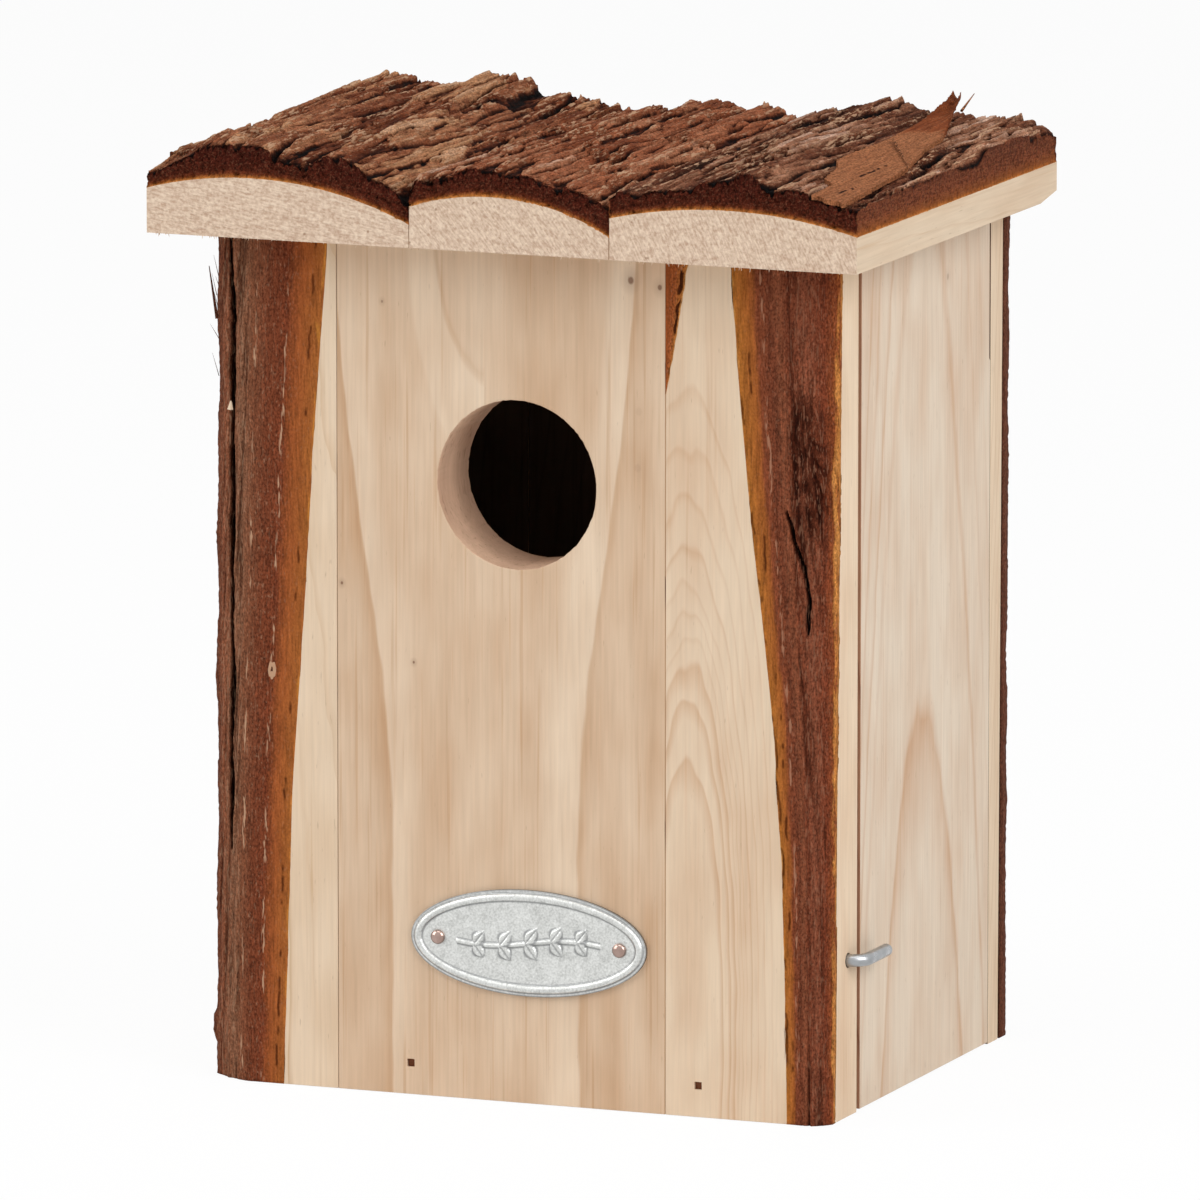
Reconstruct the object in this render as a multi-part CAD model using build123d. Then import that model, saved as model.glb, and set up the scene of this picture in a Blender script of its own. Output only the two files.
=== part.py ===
from build123d import *
import os
from math import hypot, sqrt

# A nest box of boards sawn from the outside of a log, with the bark left on.
# Millimetres. The origin is under the middle of the roof, at ground level.
# +Z is up, the entrance faces -Y and the door is on the +X side.

# Walls
wall_height = 162.8
box_width = 125.0
cavity_depth = 70.0
front_thickness = 15.5
back_thickness = 12.0
side_thickness = 12.0
floor_thickness = 12.0

# Front panel: three boards glued edge to edge
front_left_width = 26.0
front_right_width = 32.5
front_left_proud = 1.0

# Back panel: three boards glued edge to edge
back_left_width = 30.0
back_right_width = 28.0

# Logs that the outer wall boards were sawn from. The inset is from the board's outer edge to
# the log's axis, and the reach from that edge to where the bark meets the wood on the face.
wall_log_radius = 60.0
wall_bark = 3.0
front_left_log_inset = 37.0
front_left_reach_bottom = 15.7
front_left_reach_top = 25.5
front_right_log_inset = 30.0
front_right_reach_bottom = 8.2
front_right_reach_top = 19.8
back_left_log_inset = 38.0
back_left_reach_bottom = 10.0
back_left_reach_top = 13.0
back_right_log_inset = 39.5
back_right_reach_bottom = 9.2
back_right_reach_top = 7.3

# Wedge of inner bark left beside the front's right seam
sliver_width = 4.6
sliver_length = 26.0
sliver_depth = 2.0

# Entrance hole, for a bird of a tit's size
hole_diameter = 32.0
hole_height = 117.8

# Floor corners clipped off, so that water drains past them
drain_clip = 8.0

# Roof: three slabs side by side, each the outside of a log that lay front to back. The heights
# are those of the wood over the walls, at the slab's two edges and halfway between them.
front_overhang = 8.75
side_overhang = 8.85
left_slab_width = 53.2
right_slab_width = 49.2
left_slab_outer_height = 8.5
left_slab_middle_height = 11.2
left_slab_inner_height = 4.4
middle_slab_left_height = 7.8
middle_slab_middle_height = 10.4
middle_slab_right_height = 4.2
right_slab_inner_height = 7.8
right_slab_middle_height = 10.5
right_slab_outer_height = 6.9

# Roof bark: its usual thickness, and the edges of its long plates, which run from front to back.
# Each edge has its place across the slab and the bark's thickness there, as shares of the slab's
# width and of the usual thickness, at the front and then at the back.
roof_bark = 6.4
left_plate_edges = (
    (0.00, 0.52, 0.00, 0.98),
    (0.17, 0.72, 0.10, 1.20),
    (0.20, 0.96, 0.16, 1.20),
    (0.38, 0.93, 0.21, 1.00),
    (0.46, 0.90, 0.33, 0.74),
    (0.50, 0.69, 0.43, 0.97),
    (0.60, 0.61, 0.52, 1.06),
    (0.69, 1.12, 0.65, 1.30),
    (0.76, 1.17, 0.70, 0.90),
    (0.88, 0.88, 0.85, 1.28),
    (1.00, 0.86, 1.00, 1.50),
)
middle_plate_edges = (
    (0.00, 0.64, 0.00, 1.00),
    (0.15, 0.73, 0.10, 0.60),
    (0.26, 0.87, 0.28, 0.53),
    (0.50, 0.86, 0.45, 0.85),
    (0.60, 0.83, 0.58, 0.81),
    (0.68, 0.73, 0.66, 0.75),
    (0.78, 0.88, 0.75, 1.04),
    (0.90, 0.97, 0.88, 1.06),
    (1.00, 0.81, 1.00, 1.42),
)
right_plate_edges = (
    (0.00, 0.78, 0.00, 0.93),
    (0.14, 0.68, 0.10, 1.05),
    (0.30, 0.71, 0.20, 1.05),
    (0.42, 0.98, 0.35, 1.17),
    (0.50, 1.16, 0.44, 0.88),
    (0.58, 1.18, 0.50, 0.84),
    (0.65, 0.86, 0.62, 0.95),
    (0.78, 0.88, 0.74, 0.75),
    (0.90, 0.86, 0.85, 1.08),
    (1.00, 0.92, 1.00, 0.85),
)

# Loose flake on the right slab, a flat splinter that narrows to a point at the back. Its outline is
# by the inset from the roof's right edge and the setback from its front edge. Its face is a plane
# with a height over the walls at the outline's first corner, and slopes to the right and to the back.
flake_outline = (
    (8.9, 0.6),
    (10.9, 13.1),
    (14.1, 30.1),
    (15.9, 61.1),
    (17.1, 85.1),
    (19.4, 101.5),
    (17.8, 100.5),
    (14.0, 86.1),
    (8.6, 67.1),
    (4.7, 41.1),
    (2.6, 0.6),
)
flake_height = 14.6
flake_slope_right = -0.19
flake_slope_back = 0.032
flake_thickness = 1.8

# Door and its two pivot nails
door_front_gap = 2.4
door_back_gap = 0.8
door_floor_gap = 0.3
door_ground_gap = 0.3
door_swing_clearance = 0.6
pivot_drop = 15.0
pivot_nail_diameter = 2.2
pivot_head_diameter = 4.6
pivot_head_thickness = 1.0
pivot_nail_sink = 4.0
pivot_nail_bite = 14.0
pivot_tip_room = 1.0
running_clearance = 0.05

# Latch: a wire hook whose shank turns in the front right board's edge
hook_wire = 2.4
hook_shank = 22.0
hook_standoff = 3.0
hook_reach = 12.7
hook_height = 29.9
hook_setback = 10.8
hook_point = 4.0

# Square brads
brad_side = 1.5
brad_sink = 0.6
floor_brad_length = 30.0
floor_brad_left_inset = 40.8
floor_brad_right_inset = 25.9
wall_brad_sink = 7.0
wall_brad_length = 26.0
wall_brad_low = 36.0
wall_brad_high = 126.0
roof_brad_head_height = 6.0
roof_brad_length = 24.0

# Oval tin plate and its pins
plate_length = 47.6
plate_width = 20.3
plate_thickness = 0.7
plate_rim_inset = 0.8
plate_rim_width = 1.4
plate_rim_height = 0.5
plate_offset = 2.6
plate_height = 30.8
pin_spacing = 36.8
pin_diameter = 1.2
pin_length = 11.0
pin_head_diameter = 2.8
pin_head_height = 0.9

# Keyhole hanger, let in flush at the back
hanger_length = 44.0
hanger_width = 16.0
hanger_thickness = 1.2
hanger_drop = 41.8
keyhole_radius = 4.5
keyhole_slot_radius = 2.3
keyhole_travel = 10.0
hanger_pocket_width = 12.0
hanger_pocket_length = 24.0
hanger_pocket_depth = 6.0
hanger_screw_spacing = 34.0
hanger_screw_diameter = 3.0
hanger_screw_head_diameter = 6.0
hanger_screw_head_height = 1.6
hanger_screw_length = 10.0

# Planes and edges that follow from the sizes above
roof_width = box_width + 2 * side_overhang
roof_depth = front_overhang + front_thickness + cavity_depth + back_thickness
left_x = -box_width / 2
right_x = box_width / 2
roof_left_x = -roof_width / 2
roof_right_x = roof_width / 2
roof_front_y = -roof_depth / 2
back_y = roof_depth / 2
front_y = roof_front_y + front_overhang
front_inner_y = front_y + front_thickness
back_inner_y = back_y - back_thickness
left_inner_x = left_x + side_thickness
door_inner_x = right_x - side_thickness
front_left_seam = left_x + front_left_width
front_right_seam = right_x - front_right_width
back_left_seam = left_x + back_left_width
back_right_seam = right_x - back_right_width
left_edge_x = left_x - front_left_proud
roof_left_seam = roof_left_x + left_slab_width
roof_right_seam = roof_right_x - right_slab_width
overshoot = 10.0


def block(x0, x1, y0, y1, z0, z1):
    """A sawn board between six planes."""
    middle = Pos((x0 + x1) / 2, (y0 + y1) / 2, (z0 + z1) / 2)
    return middle * Box(x1 - x0, y1 - y0, z1 - z0)


def rod(start, end, radius):
    """A round bar between two points."""
    axis = Vector(*end) - Vector(*start)
    base = Plane(origin=start, z_dir=axis)
    return base * Cylinder(radius, axis.length, align=(Align.CENTER, Align.CENTER, Align.MIN))


def standing_log(axis_x, face_y, inward, depth_bottom, depth_top, radius):
    """The log behind a wall board: upright, leaning by the change of depth, longer than the board."""
    lean = (depth_top - depth_bottom) / wall_height
    low = depth_bottom - lean * overshoot
    high = depth_top + lean * overshoot
    start = (axis_x, face_y + inward * low, -overshoot)
    end = (axis_x, face_y + inward * high, wall_height + overshoot)
    return rod(start, end, radius)


def waney_board(board, edge_x, toward_x, inset, face_y, inward, reach_bottom, reach_top):
    """Split a rough-sawn board into the wood inside its log and the bark around that wood."""
    axis_x = edge_x + toward_x * inset
    depth_bottom = sqrt(wall_log_radius ** 2 - (inset - reach_bottom) ** 2)
    depth_top = sqrt(wall_log_radius ** 2 - (inset - reach_top) ** 2)
    log = standing_log(axis_x, face_y, inward, depth_bottom, depth_top, wall_log_radius)
    barked_log = standing_log(axis_x, face_y, inward, depth_bottom, depth_top, wall_log_radius + wall_bark)
    return board & log, (board & barked_log) - log


def brad(start, end):
    """A square brad between two points on a line along one axis."""
    half = brad_side / 2
    low = [min(a, b) - (half if a == b else 0) for a, b in zip(start, end)]
    high = [max(a, b) + (half if a == b else 0) for a, b in zip(start, end)]
    return block(low[0], high[0], low[1], high[1], low[2], high[2])


# Brads, with the holes that each one leaves above its sunk head
floor_brads = []
floor_brad_holes = []
for brad_x in (left_x + floor_brad_left_inset, right_x - floor_brad_right_inset):
    for face_y, inward in ((front_y, 1), (back_y, -1)):
        height = floor_thickness / 2
        head_y = face_y + inward * brad_sink
        tip_y = head_y + inward * floor_brad_length
        floor_brads.append(brad((brad_x, head_y, height), (brad_x, tip_y, height)))
        floor_brad_holes.append(brad((brad_x, face_y - inward, height), (brad_x, tip_y, height)))

wall_brads = []
wall_brad_holes = []
wall_brad_x = left_x + side_thickness / 2
for height in (wall_brad_low, wall_brad_high):
    for face_y, inward in ((front_y, 1), (back_y, -1)):
        head_y = face_y + inward * wall_brad_sink
        tip_y = head_y + inward * wall_brad_length
        wall_brads.append(brad((wall_brad_x, head_y, height), (wall_brad_x, tip_y, height)))
        wall_brad_holes.append(brad((wall_brad_x, face_y - inward, height), (wall_brad_x, tip_y, height)))

roof_brads = []
roof_brad_holes = []
slab_edges = (roof_left_x, roof_left_seam, roof_right_seam, roof_right_x)
for slab_left, slab_right in zip(slab_edges, slab_edges[1:]):
    for brad_y in (front_y + front_thickness / 2, back_y - back_thickness / 2):
        brad_x = (slab_left + slab_right) / 2
        head_z = wall_height + roof_brad_head_height
        tip_z = head_z - roof_brad_length
        top_z = head_z + 2 * roof_bark + overshoot
        roof_brads.append(brad((brad_x, brad_y, head_z), (brad_x, brad_y, tip_z)))
        roof_brad_holes.append(brad((brad_x, brad_y, top_z), (brad_x, brad_y, tip_z)))

brad_holes = floor_brad_holes + wall_brad_holes + roof_brad_holes

# Pivot nails: tight in the front and back, loose in the door
pivot_x = right_x - side_thickness / 2
door_corner = hypot(pivot_drop, side_thickness / 2)
pivot_z = wall_height - door_swing_clearance - door_corner
door_top = pivot_z + pivot_drop
door_front_y = front_inner_y + door_front_gap
door_back_y = back_inner_y - door_back_gap

pivot_nails = []
pivot_nail_holes = []
pivot_bores = []
for face_y, inward, door_edge_y in ((front_y, 1, door_front_y), (back_y, -1, door_back_y)):
    head_y = face_y + inward * pivot_nail_sink
    neck_y = head_y + inward * pivot_head_thickness
    tip_y = door_edge_y + inward * pivot_nail_bite
    bore_end_y = tip_y + inward * pivot_tip_room
    shank = rod((pivot_x, head_y, pivot_z), (pivot_x, tip_y, pivot_z), pivot_nail_diameter / 2)
    head = rod((pivot_x, head_y, pivot_z), (pivot_x, neck_y, pivot_z), pivot_head_diameter / 2)
    sink = rod((pivot_x, face_y - inward, pivot_z), (pivot_x, neck_y, pivot_z), pivot_head_diameter / 2)
    bore_radius = pivot_nail_diameter / 2 + running_clearance
    bore_start_y = door_edge_y - inward
    pivot_nails.append(shank + head)
    pivot_nail_holes.append(shank + sink)
    pivot_bores.append(rod((pivot_x, bore_start_y, pivot_z), (pivot_x, bore_end_y, pivot_z), bore_radius))

side_door = block(door_inner_x, right_x, door_front_y, door_back_y, door_ground_gap, door_top)
side_door = side_door - pivot_bores

# Latch hook: a shank along X, a quarter bend and an arm along +Y over the door's edge
hook_y = front_y + hook_setback
hook_start = Vector(right_x - hook_shank, hook_y, hook_height)
hook_root = Vector(right_x, hook_y, hook_height)
hook_elbow = Vector(right_x + hook_standoff, hook_y + hook_standoff, hook_height)
hook_end = Vector(right_x + hook_standoff, hook_y + hook_reach - hook_wire / 2, hook_height)
hook_path = Wire([
    Edge.make_line(hook_start, hook_root),
    Edge.make_tangent_arc(hook_root, Vector(1, 0, 0), hook_elbow),
    Edge.make_line(hook_elbow, hook_end),
])
hook_section = Plane(origin=hook_start, z_dir=(1, 0, 0)) * Circle(hook_wire / 2)
hook_tip = Plane(origin=hook_start, z_dir=(-1, 0, 0)) * Cone(
    hook_wire / 2, hook_wire / 10, hook_point, align=(Align.CENTER, Align.CENTER, Align.MIN))
hook_nose = Plane(origin=hook_end, z_dir=(0, 1, 0)) * Cone(
    hook_wire / 2, hook_wire / 4, hook_wire / 2, align=(Align.CENTER, Align.CENTER, Align.MIN))
latch_hook = sweep(hook_section, path=hook_path) + hook_tip + hook_nose
hook_bore_end = (right_x - hook_shank - hook_point - pivot_tip_room, hook_y, hook_height)
hook_bore = rod((right_x + 1, hook_y, hook_height), hook_bore_end, hook_wire / 2 + running_clearance)

# Oval plate with a raised rim, and its pins
plate_plane = Plane(origin=(plate_offset, front_y, plate_height), x_dir=(1, 0, 0), z_dir=(0, -1, 0))
half_length = plate_length / 2
half_width = plate_width / 2
rim_outer = Ellipse(half_length - plate_rim_inset, half_width - plate_rim_inset)
rim_inner_inset = plate_rim_inset + plate_rim_width
rim_inner = Ellipse(half_length - rim_inner_inset, half_width - rim_inner_inset)
plate_sheet = extrude(Ellipse(half_length, half_width), plate_thickness)
plate_rim = extrude(rim_outer - rim_inner, plate_thickness + plate_rim_height)
oval_plate = plate_plane * (plate_sheet + plate_rim)

plate_pins = []
for side in (-1, 1):
    seat = plate_plane * Pos(side * pin_spacing / 2, 0, plate_thickness)
    dome = Cylinder(pin_head_diameter / 2, pin_head_height, align=(Align.CENTER, Align.CENTER, Align.MIN))
    dome = chamfer(dome.edges().sort_by(Axis.Z)[-1], pin_head_height / 2)
    stem = Cylinder(pin_diameter / 2, pin_length, align=(Align.CENTER, Align.CENTER, Align.MAX))
    plate_pins.append(seat * (dome + stem))
oval_plate = oval_plate - plate_pins

# Keyhole hanger and its screws
hanger_plane = Plane(origin=(0, back_y, wall_height - hanger_drop), x_dir=(-1, 0, 0), z_dir=(0, 1, 0))
hanger_outline = Rot(0, 0, 90) * SlotOverall(hanger_length, hanger_width)
entry_drop = keyhole_travel / 2
keyhole = Pos(0, -entry_drop) * Circle(keyhole_radius)
keyhole = keyhole + Rot(0, 0, 90) * SlotCenterToCenter(keyhole_travel, 2 * keyhole_slot_radius)
pocket_outline = Rot(0, 0, 90) * SlotOverall(hanger_pocket_length, hanger_pocket_width)
pocket_floor = hanger_thickness + hanger_pocket_depth
hanger_recess = hanger_plane * extrude(hanger_outline, -hanger_thickness)
hanger_pocket = hanger_plane * extrude(pocket_outline, -pocket_floor)

hanger_screws = []
for side in (-1, 1):
    place = hanger_plane * Pos(0, side * hanger_screw_spacing / 2, 0)
    head = Cone(hanger_screw_diameter / 2, hanger_screw_head_diameter / 2, hanger_screw_head_height,
                align=(Align.CENTER, Align.CENTER, Align.MAX))
    stem = Cylinder(hanger_screw_diameter / 2, hanger_screw_length,
                    align=(Align.CENTER, Align.CENTER, Align.MAX))
    hanger_screws.append(place * (head + stem))
hanger = hanger_recess - hanger_plane * extrude(keyhole, -hanger_thickness) - hanger_screws

# Front panel
front_left_rough = block(left_edge_x, front_left_seam, front_y, front_inner_y, 0, wall_height)
front_left_board, front_left_bark = waney_board(
    front_left_rough, left_edge_x, 1, front_left_log_inset,
    front_y, 1, front_left_reach_bottom, front_left_reach_top)
front_left_board = front_left_board - brad_holes
front_left_bark = front_left_bark - brad_holes

front_right_rough = block(front_right_seam, right_x, front_y, front_inner_y, 0, wall_height)
front_right_board, front_right_bark = waney_board(
    front_right_rough, right_x, -1, front_right_log_inset,
    front_y, 1, front_right_reach_bottom, front_right_reach_top)
sliver_outline = Polyline(
    (front_right_seam, front_y, wall_height),
    (front_right_seam + sliver_width, front_y, wall_height),
    (front_right_seam, front_y, wall_height - sliver_length),
    close=True)
front_bark_sliver = extrude(make_face(sliver_outline), sliver_depth, dir=(0, 1, 0))
front_right_board = front_right_board - brad_holes - pivot_nail_holes - hook_bore - front_bark_sliver
front_right_bark = front_right_bark - brad_holes - pivot_nail_holes - hook_bore

entrance = rod((0, front_y - 1, hole_height), (0, front_inner_y + 1, hole_height), hole_diameter / 2)
front_centre_board = block(front_left_seam, front_right_seam, front_y, front_inner_y, 0, wall_height)
front_centre_board = front_centre_board - entrance - brad_holes - plate_pins

# Back panel
back_left_rough = block(left_x, back_left_seam, back_inner_y, back_y, 0, wall_height)
back_left_board, back_left_bark = waney_board(
    back_left_rough, left_x, 1, back_left_log_inset,
    back_y, -1, back_left_reach_bottom, back_left_reach_top)
back_left_board = back_left_board - brad_holes
back_left_bark = back_left_bark - brad_holes

back_right_rough = block(back_right_seam, right_x, back_inner_y, back_y, 0, wall_height)
back_right_board, back_right_bark = waney_board(
    back_right_rough, right_x, -1, back_right_log_inset,
    back_y, -1, back_right_reach_bottom, back_right_reach_top)
back_right_board = back_right_board - brad_holes - pivot_nail_holes
back_right_bark = back_right_bark - brad_holes - pivot_nail_holes

back_centre_board = block(back_left_seam, back_right_seam, back_inner_y, back_y, 0, wall_height)
back_centre_board = back_centre_board - brad_holes - hanger_recess - hanger_pocket - hanger_screws

# Fixed side and floor
left_wall = block(left_x, left_inner_x, front_inner_y, back_inner_y, 0, wall_height) - brad_holes
floor_right_x = door_inner_x - door_floor_gap
floor_board = block(left_inner_x, floor_right_x, front_inner_y, back_inner_y, 0, floor_thickness)
floor_board = chamfer(floor_board.edges().filter_by(Axis.Z), drain_clip) - brad_holes


def slab_log(slab_left, slab_right, left_height, middle_height, right_height):
    """Axis and radius of the lying log whose round side passes a slab's edges and middle."""
    crown = ThreePointArc(
        (slab_left, 0, wall_height + left_height),
        ((slab_left + slab_right) / 2, 0, wall_height + middle_height),
        (slab_right, 0, wall_height + right_height))
    return crown.arc_center.X, crown.arc_center.Z, crown.radius


def wood_top(x, axis_x, axis_z, radius):
    """Height of a log's round side over a place across it."""
    return axis_z + sqrt(radius ** 2 - (x - axis_x) ** 2)


def roof_slab(slab_left, slab_right, plate_edges, axis_x, axis_z, radius):
    """A half-round slab and its bark in long flat plates, both sawn off square at the sides and ends."""
    start = (axis_x, roof_front_y - overshoot, axis_z)
    end = (axis_x, back_y + overshoot, axis_z)
    log = rod(start, end, radius)
    top_z = axis_z + radius + overshoot
    rough = block(slab_left, slab_right, roof_front_y, back_y, wall_height, top_z)
    front = [(slab_left, roof_front_y, wall_height)]
    back = [(slab_left, back_y, wall_height)]
    for front_share, front_thickness_share, back_share, back_thickness_share in plate_edges:
        front_x = slab_left + front_share * (slab_right - slab_left)
        back_x = slab_left + back_share * (slab_right - slab_left)
        front_z = wood_top(front_x, axis_x, axis_z, radius) + front_thickness_share * roof_bark
        back_z = wood_top(back_x, axis_x, axis_z, radius) + back_thickness_share * roof_bark
        front.append((front_x, roof_front_y, front_z))
        back.append((back_x, back_y, back_z))
    front.append((slab_right, roof_front_y, wall_height))
    back.append((slab_right, back_y, wall_height))
    sides = [front, back, (front[0], front[1], back[1], back[0]), (front[-2], front[-1], back[-1], back[-2])]
    sides.append((front[0], back[0], back[-1], front[-1]))
    for i in range(1, len(front) - 2):
        sides.append((front[i], front[i + 1], back[i]))
        sides.append((front[i + 1], back[i + 1], back[i]))
    barked = Solid(Shell([Face(Wire.make_polygon(side)) for side in sides]))
    return rough & log, barked - log


left_log = slab_log(
    roof_left_x, roof_left_seam,
    left_slab_outer_height, left_slab_middle_height, left_slab_inner_height)
middle_log = slab_log(
    roof_left_seam, roof_right_seam,
    middle_slab_left_height, middle_slab_middle_height, middle_slab_right_height)
right_log = slab_log(
    roof_right_seam, roof_right_x,
    right_slab_inner_height, right_slab_middle_height, right_slab_outer_height)
roof_left_slab, roof_left_bark = roof_slab(
    roof_left_x, roof_left_seam, left_plate_edges, *left_log)
roof_middle_slab, roof_middle_bark = roof_slab(
    roof_left_seam, roof_right_seam, middle_plate_edges, *middle_log)
roof_right_slab, roof_right_bark = roof_slab(
    roof_right_seam, roof_right_x, right_plate_edges, *right_log)

# Loose flake: let into the right slab's bark at the front, and clear of it towards its point
first_inset, first_setback = flake_outline[0]
flake_corners = []
for inset, setback in flake_outline:
    rise = flake_slope_right * (first_inset - inset) + flake_slope_back * (setback - first_setback)
    corner_z = wall_height + flake_height + rise
    flake_corners.append((roof_right_x - inset, roof_front_y + setback, corner_z))
flake_face = Face(Wire.make_polygon(flake_corners))
roof_bark_flake = extrude(flake_face, amount=flake_thickness, dir=(0, 0, -1))

roof_left_slab = roof_left_slab - roof_brad_holes
roof_left_bark = roof_left_bark - roof_brad_holes
roof_middle_slab = roof_middle_slab - roof_brad_holes
roof_middle_bark = roof_middle_bark - roof_brad_holes
roof_right_slab = roof_right_slab - roof_brad_holes
roof_right_bark = roof_right_bark - roof_brad_holes - roof_bark_flake

nodes = {
    "front_left_board": front_left_board,
    "front_left_bark": front_left_bark,
    "front_centre_board": front_centre_board,
    "front_right_board": front_right_board,
    "front_right_bark": front_right_bark,
    "front_bark_sliver": front_bark_sliver,
    "back_left_board": back_left_board,
    "back_left_bark": back_left_bark,
    "back_centre_board": back_centre_board,
    "back_right_board": back_right_board,
    "back_right_bark": back_right_bark,
    "left_wall": left_wall,
    "floor_board": floor_board,
    "roof_left_slab": roof_left_slab,
    "roof_left_bark": roof_left_bark,
    "roof_middle_slab": roof_middle_slab,
    "roof_middle_bark": roof_middle_bark,
    "roof_right_slab": roof_right_slab,
    "roof_right_bark": roof_right_bark,
    "roof_bark_flake": roof_bark_flake,
    "side_door": side_door,
    "pivot_nails": Compound(pivot_nails),
    "latch_hook": latch_hook,
    "oval_plate": oval_plate,
    "plate_pins": Compound(plate_pins),
    "floor_brads": Compound(floor_brads),
    "wall_brads": Compound(wall_brads),
    "roof_brads": Compound(roof_brads),
    "hanger": hanger,
    "hanger_screws": Compound(hanger_screws),
}

os.makedirs("parts", exist_ok=True)
for name, solid in nodes.items():
    export_step(solid, f"parts/{name}.step")
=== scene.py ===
import math
import random

import bmesh
import bpy
from mathutils import Matrix, Vector
from mathutils.noise import cell_vector, noise, turbulence


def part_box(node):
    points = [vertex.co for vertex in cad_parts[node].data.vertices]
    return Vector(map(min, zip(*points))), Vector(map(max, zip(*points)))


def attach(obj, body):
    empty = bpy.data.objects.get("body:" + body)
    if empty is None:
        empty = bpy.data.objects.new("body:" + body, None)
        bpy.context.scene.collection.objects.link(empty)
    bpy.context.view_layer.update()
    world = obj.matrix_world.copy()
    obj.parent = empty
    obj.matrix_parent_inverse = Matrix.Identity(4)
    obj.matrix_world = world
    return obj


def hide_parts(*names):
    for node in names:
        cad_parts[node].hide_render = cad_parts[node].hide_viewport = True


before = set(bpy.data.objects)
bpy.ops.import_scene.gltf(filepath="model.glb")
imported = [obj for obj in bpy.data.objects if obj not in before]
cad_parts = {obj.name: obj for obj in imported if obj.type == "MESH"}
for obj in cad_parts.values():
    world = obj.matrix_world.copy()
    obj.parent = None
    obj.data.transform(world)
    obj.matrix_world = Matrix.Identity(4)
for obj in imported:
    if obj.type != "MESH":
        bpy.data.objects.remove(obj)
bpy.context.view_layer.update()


# Floor board: a softwood offcut between the walls, with its corners clipped so that rain drains out.
# Sawn on every side, left unfinished and nailed through the front and back panels.
def linear(srgb):
    """An sRGB hex colour as the linear RGBA that a shader socket takes."""
    parts = [int(srgb[i:i + 2], 16) / 255 for i in (1, 3, 5)]
    return [p / 12.92 if p <= 0.04045 else ((p + 0.055) / 1.055) ** 2.4 for p in parts] + [1.0]


def fill(tree, node, sockets):
    """Give a shader node's sockets their links, numbers or sRGB hex colours."""
    for socket, value in sockets.items():
        if isinstance(value, bpy.types.NodeSocket):
            tree.links.new(value, node.inputs[socket])
        else:
            node.inputs[socket].default_value = linear(value) if isinstance(value, str) else value


def add(tree, kind, sockets=None, stops=None, **settings):
    """Add one shader node with its settings, what its sockets get, and a ramp's stops.

    A stop is a place and either an sRGB hex colour or a share of white."""
    made = tree.nodes.new(kind)
    for field, value in settings.items():
        setattr(made, field, value)
    fill(tree, made, sockets or {})
    if stops:
        elements = made.color_ramp.elements
        while len(elements) < len(stops):
            elements.new(1.0)
        for element, (position, colour) in zip(elements, stops):
            element.position = position
            element.color = linear(colour) if isinstance(colour, str) else (colour, colour, colour, 1.0)
    return made


def maths(tree, operation, *values, **settings):
    """The result of a math node for one to three numbers or links."""
    return add(tree, "ShaderNodeMath", dict(enumerate(values)), operation=operation, **settings).outputs[0]


def ranged(tree, value, low, high, start=0.0, end=1.0):
    """A value that runs from low to high, drawn out to run from start to end and held there beyond."""
    return add(tree, "ShaderNodeMapRange", dict(enumerate((value, low, high, start, end)))).outputs[0]


def mixed(tree, share, first, second, blend_type="MIX"):
    """Two colours, each a link or an sRGB hex, mixed by a share."""
    return add(tree, "ShaderNodeMixRGB", {0: share, 1: first, 2: second}, blend_type=blend_type).outputs[0]


def new_finish(name):
    """A new material: itself, its node tree, its shader and the object's coordinates in millimetres."""
    finish = bpy.data.materials.new(name)
    finish.use_nodes = True
    tree = finish.node_tree
    where = add(tree, "ShaderNodeTexCoord").outputs["Object"]
    in_mm = add(tree, "ShaderNodeVectorMath", {0: where, "Scale": 1000.0}, operation="SCALE").outputs[0]
    return finish, tree, tree.nodes["Principled BSDF"], in_mm


def fibres(tree, trunk, width, length, detail, swirl=0.0):
    """Noise drawn out along the trunk into threads of a width and length in mm, straight or in swirls."""
    stretched = add(tree, "ShaderNodeMapping", {
        "Vector": trunk, "Scale": (1 / width, 1 / width, 1 / length)})
    return add(tree, "ShaderNodeTexNoise", {
        "Vector": stretched.outputs[0], "Scale": 1.0, "Detail": detail, "Roughness": 0.55,
        "Distortion": swirl}).outputs[0]


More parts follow.
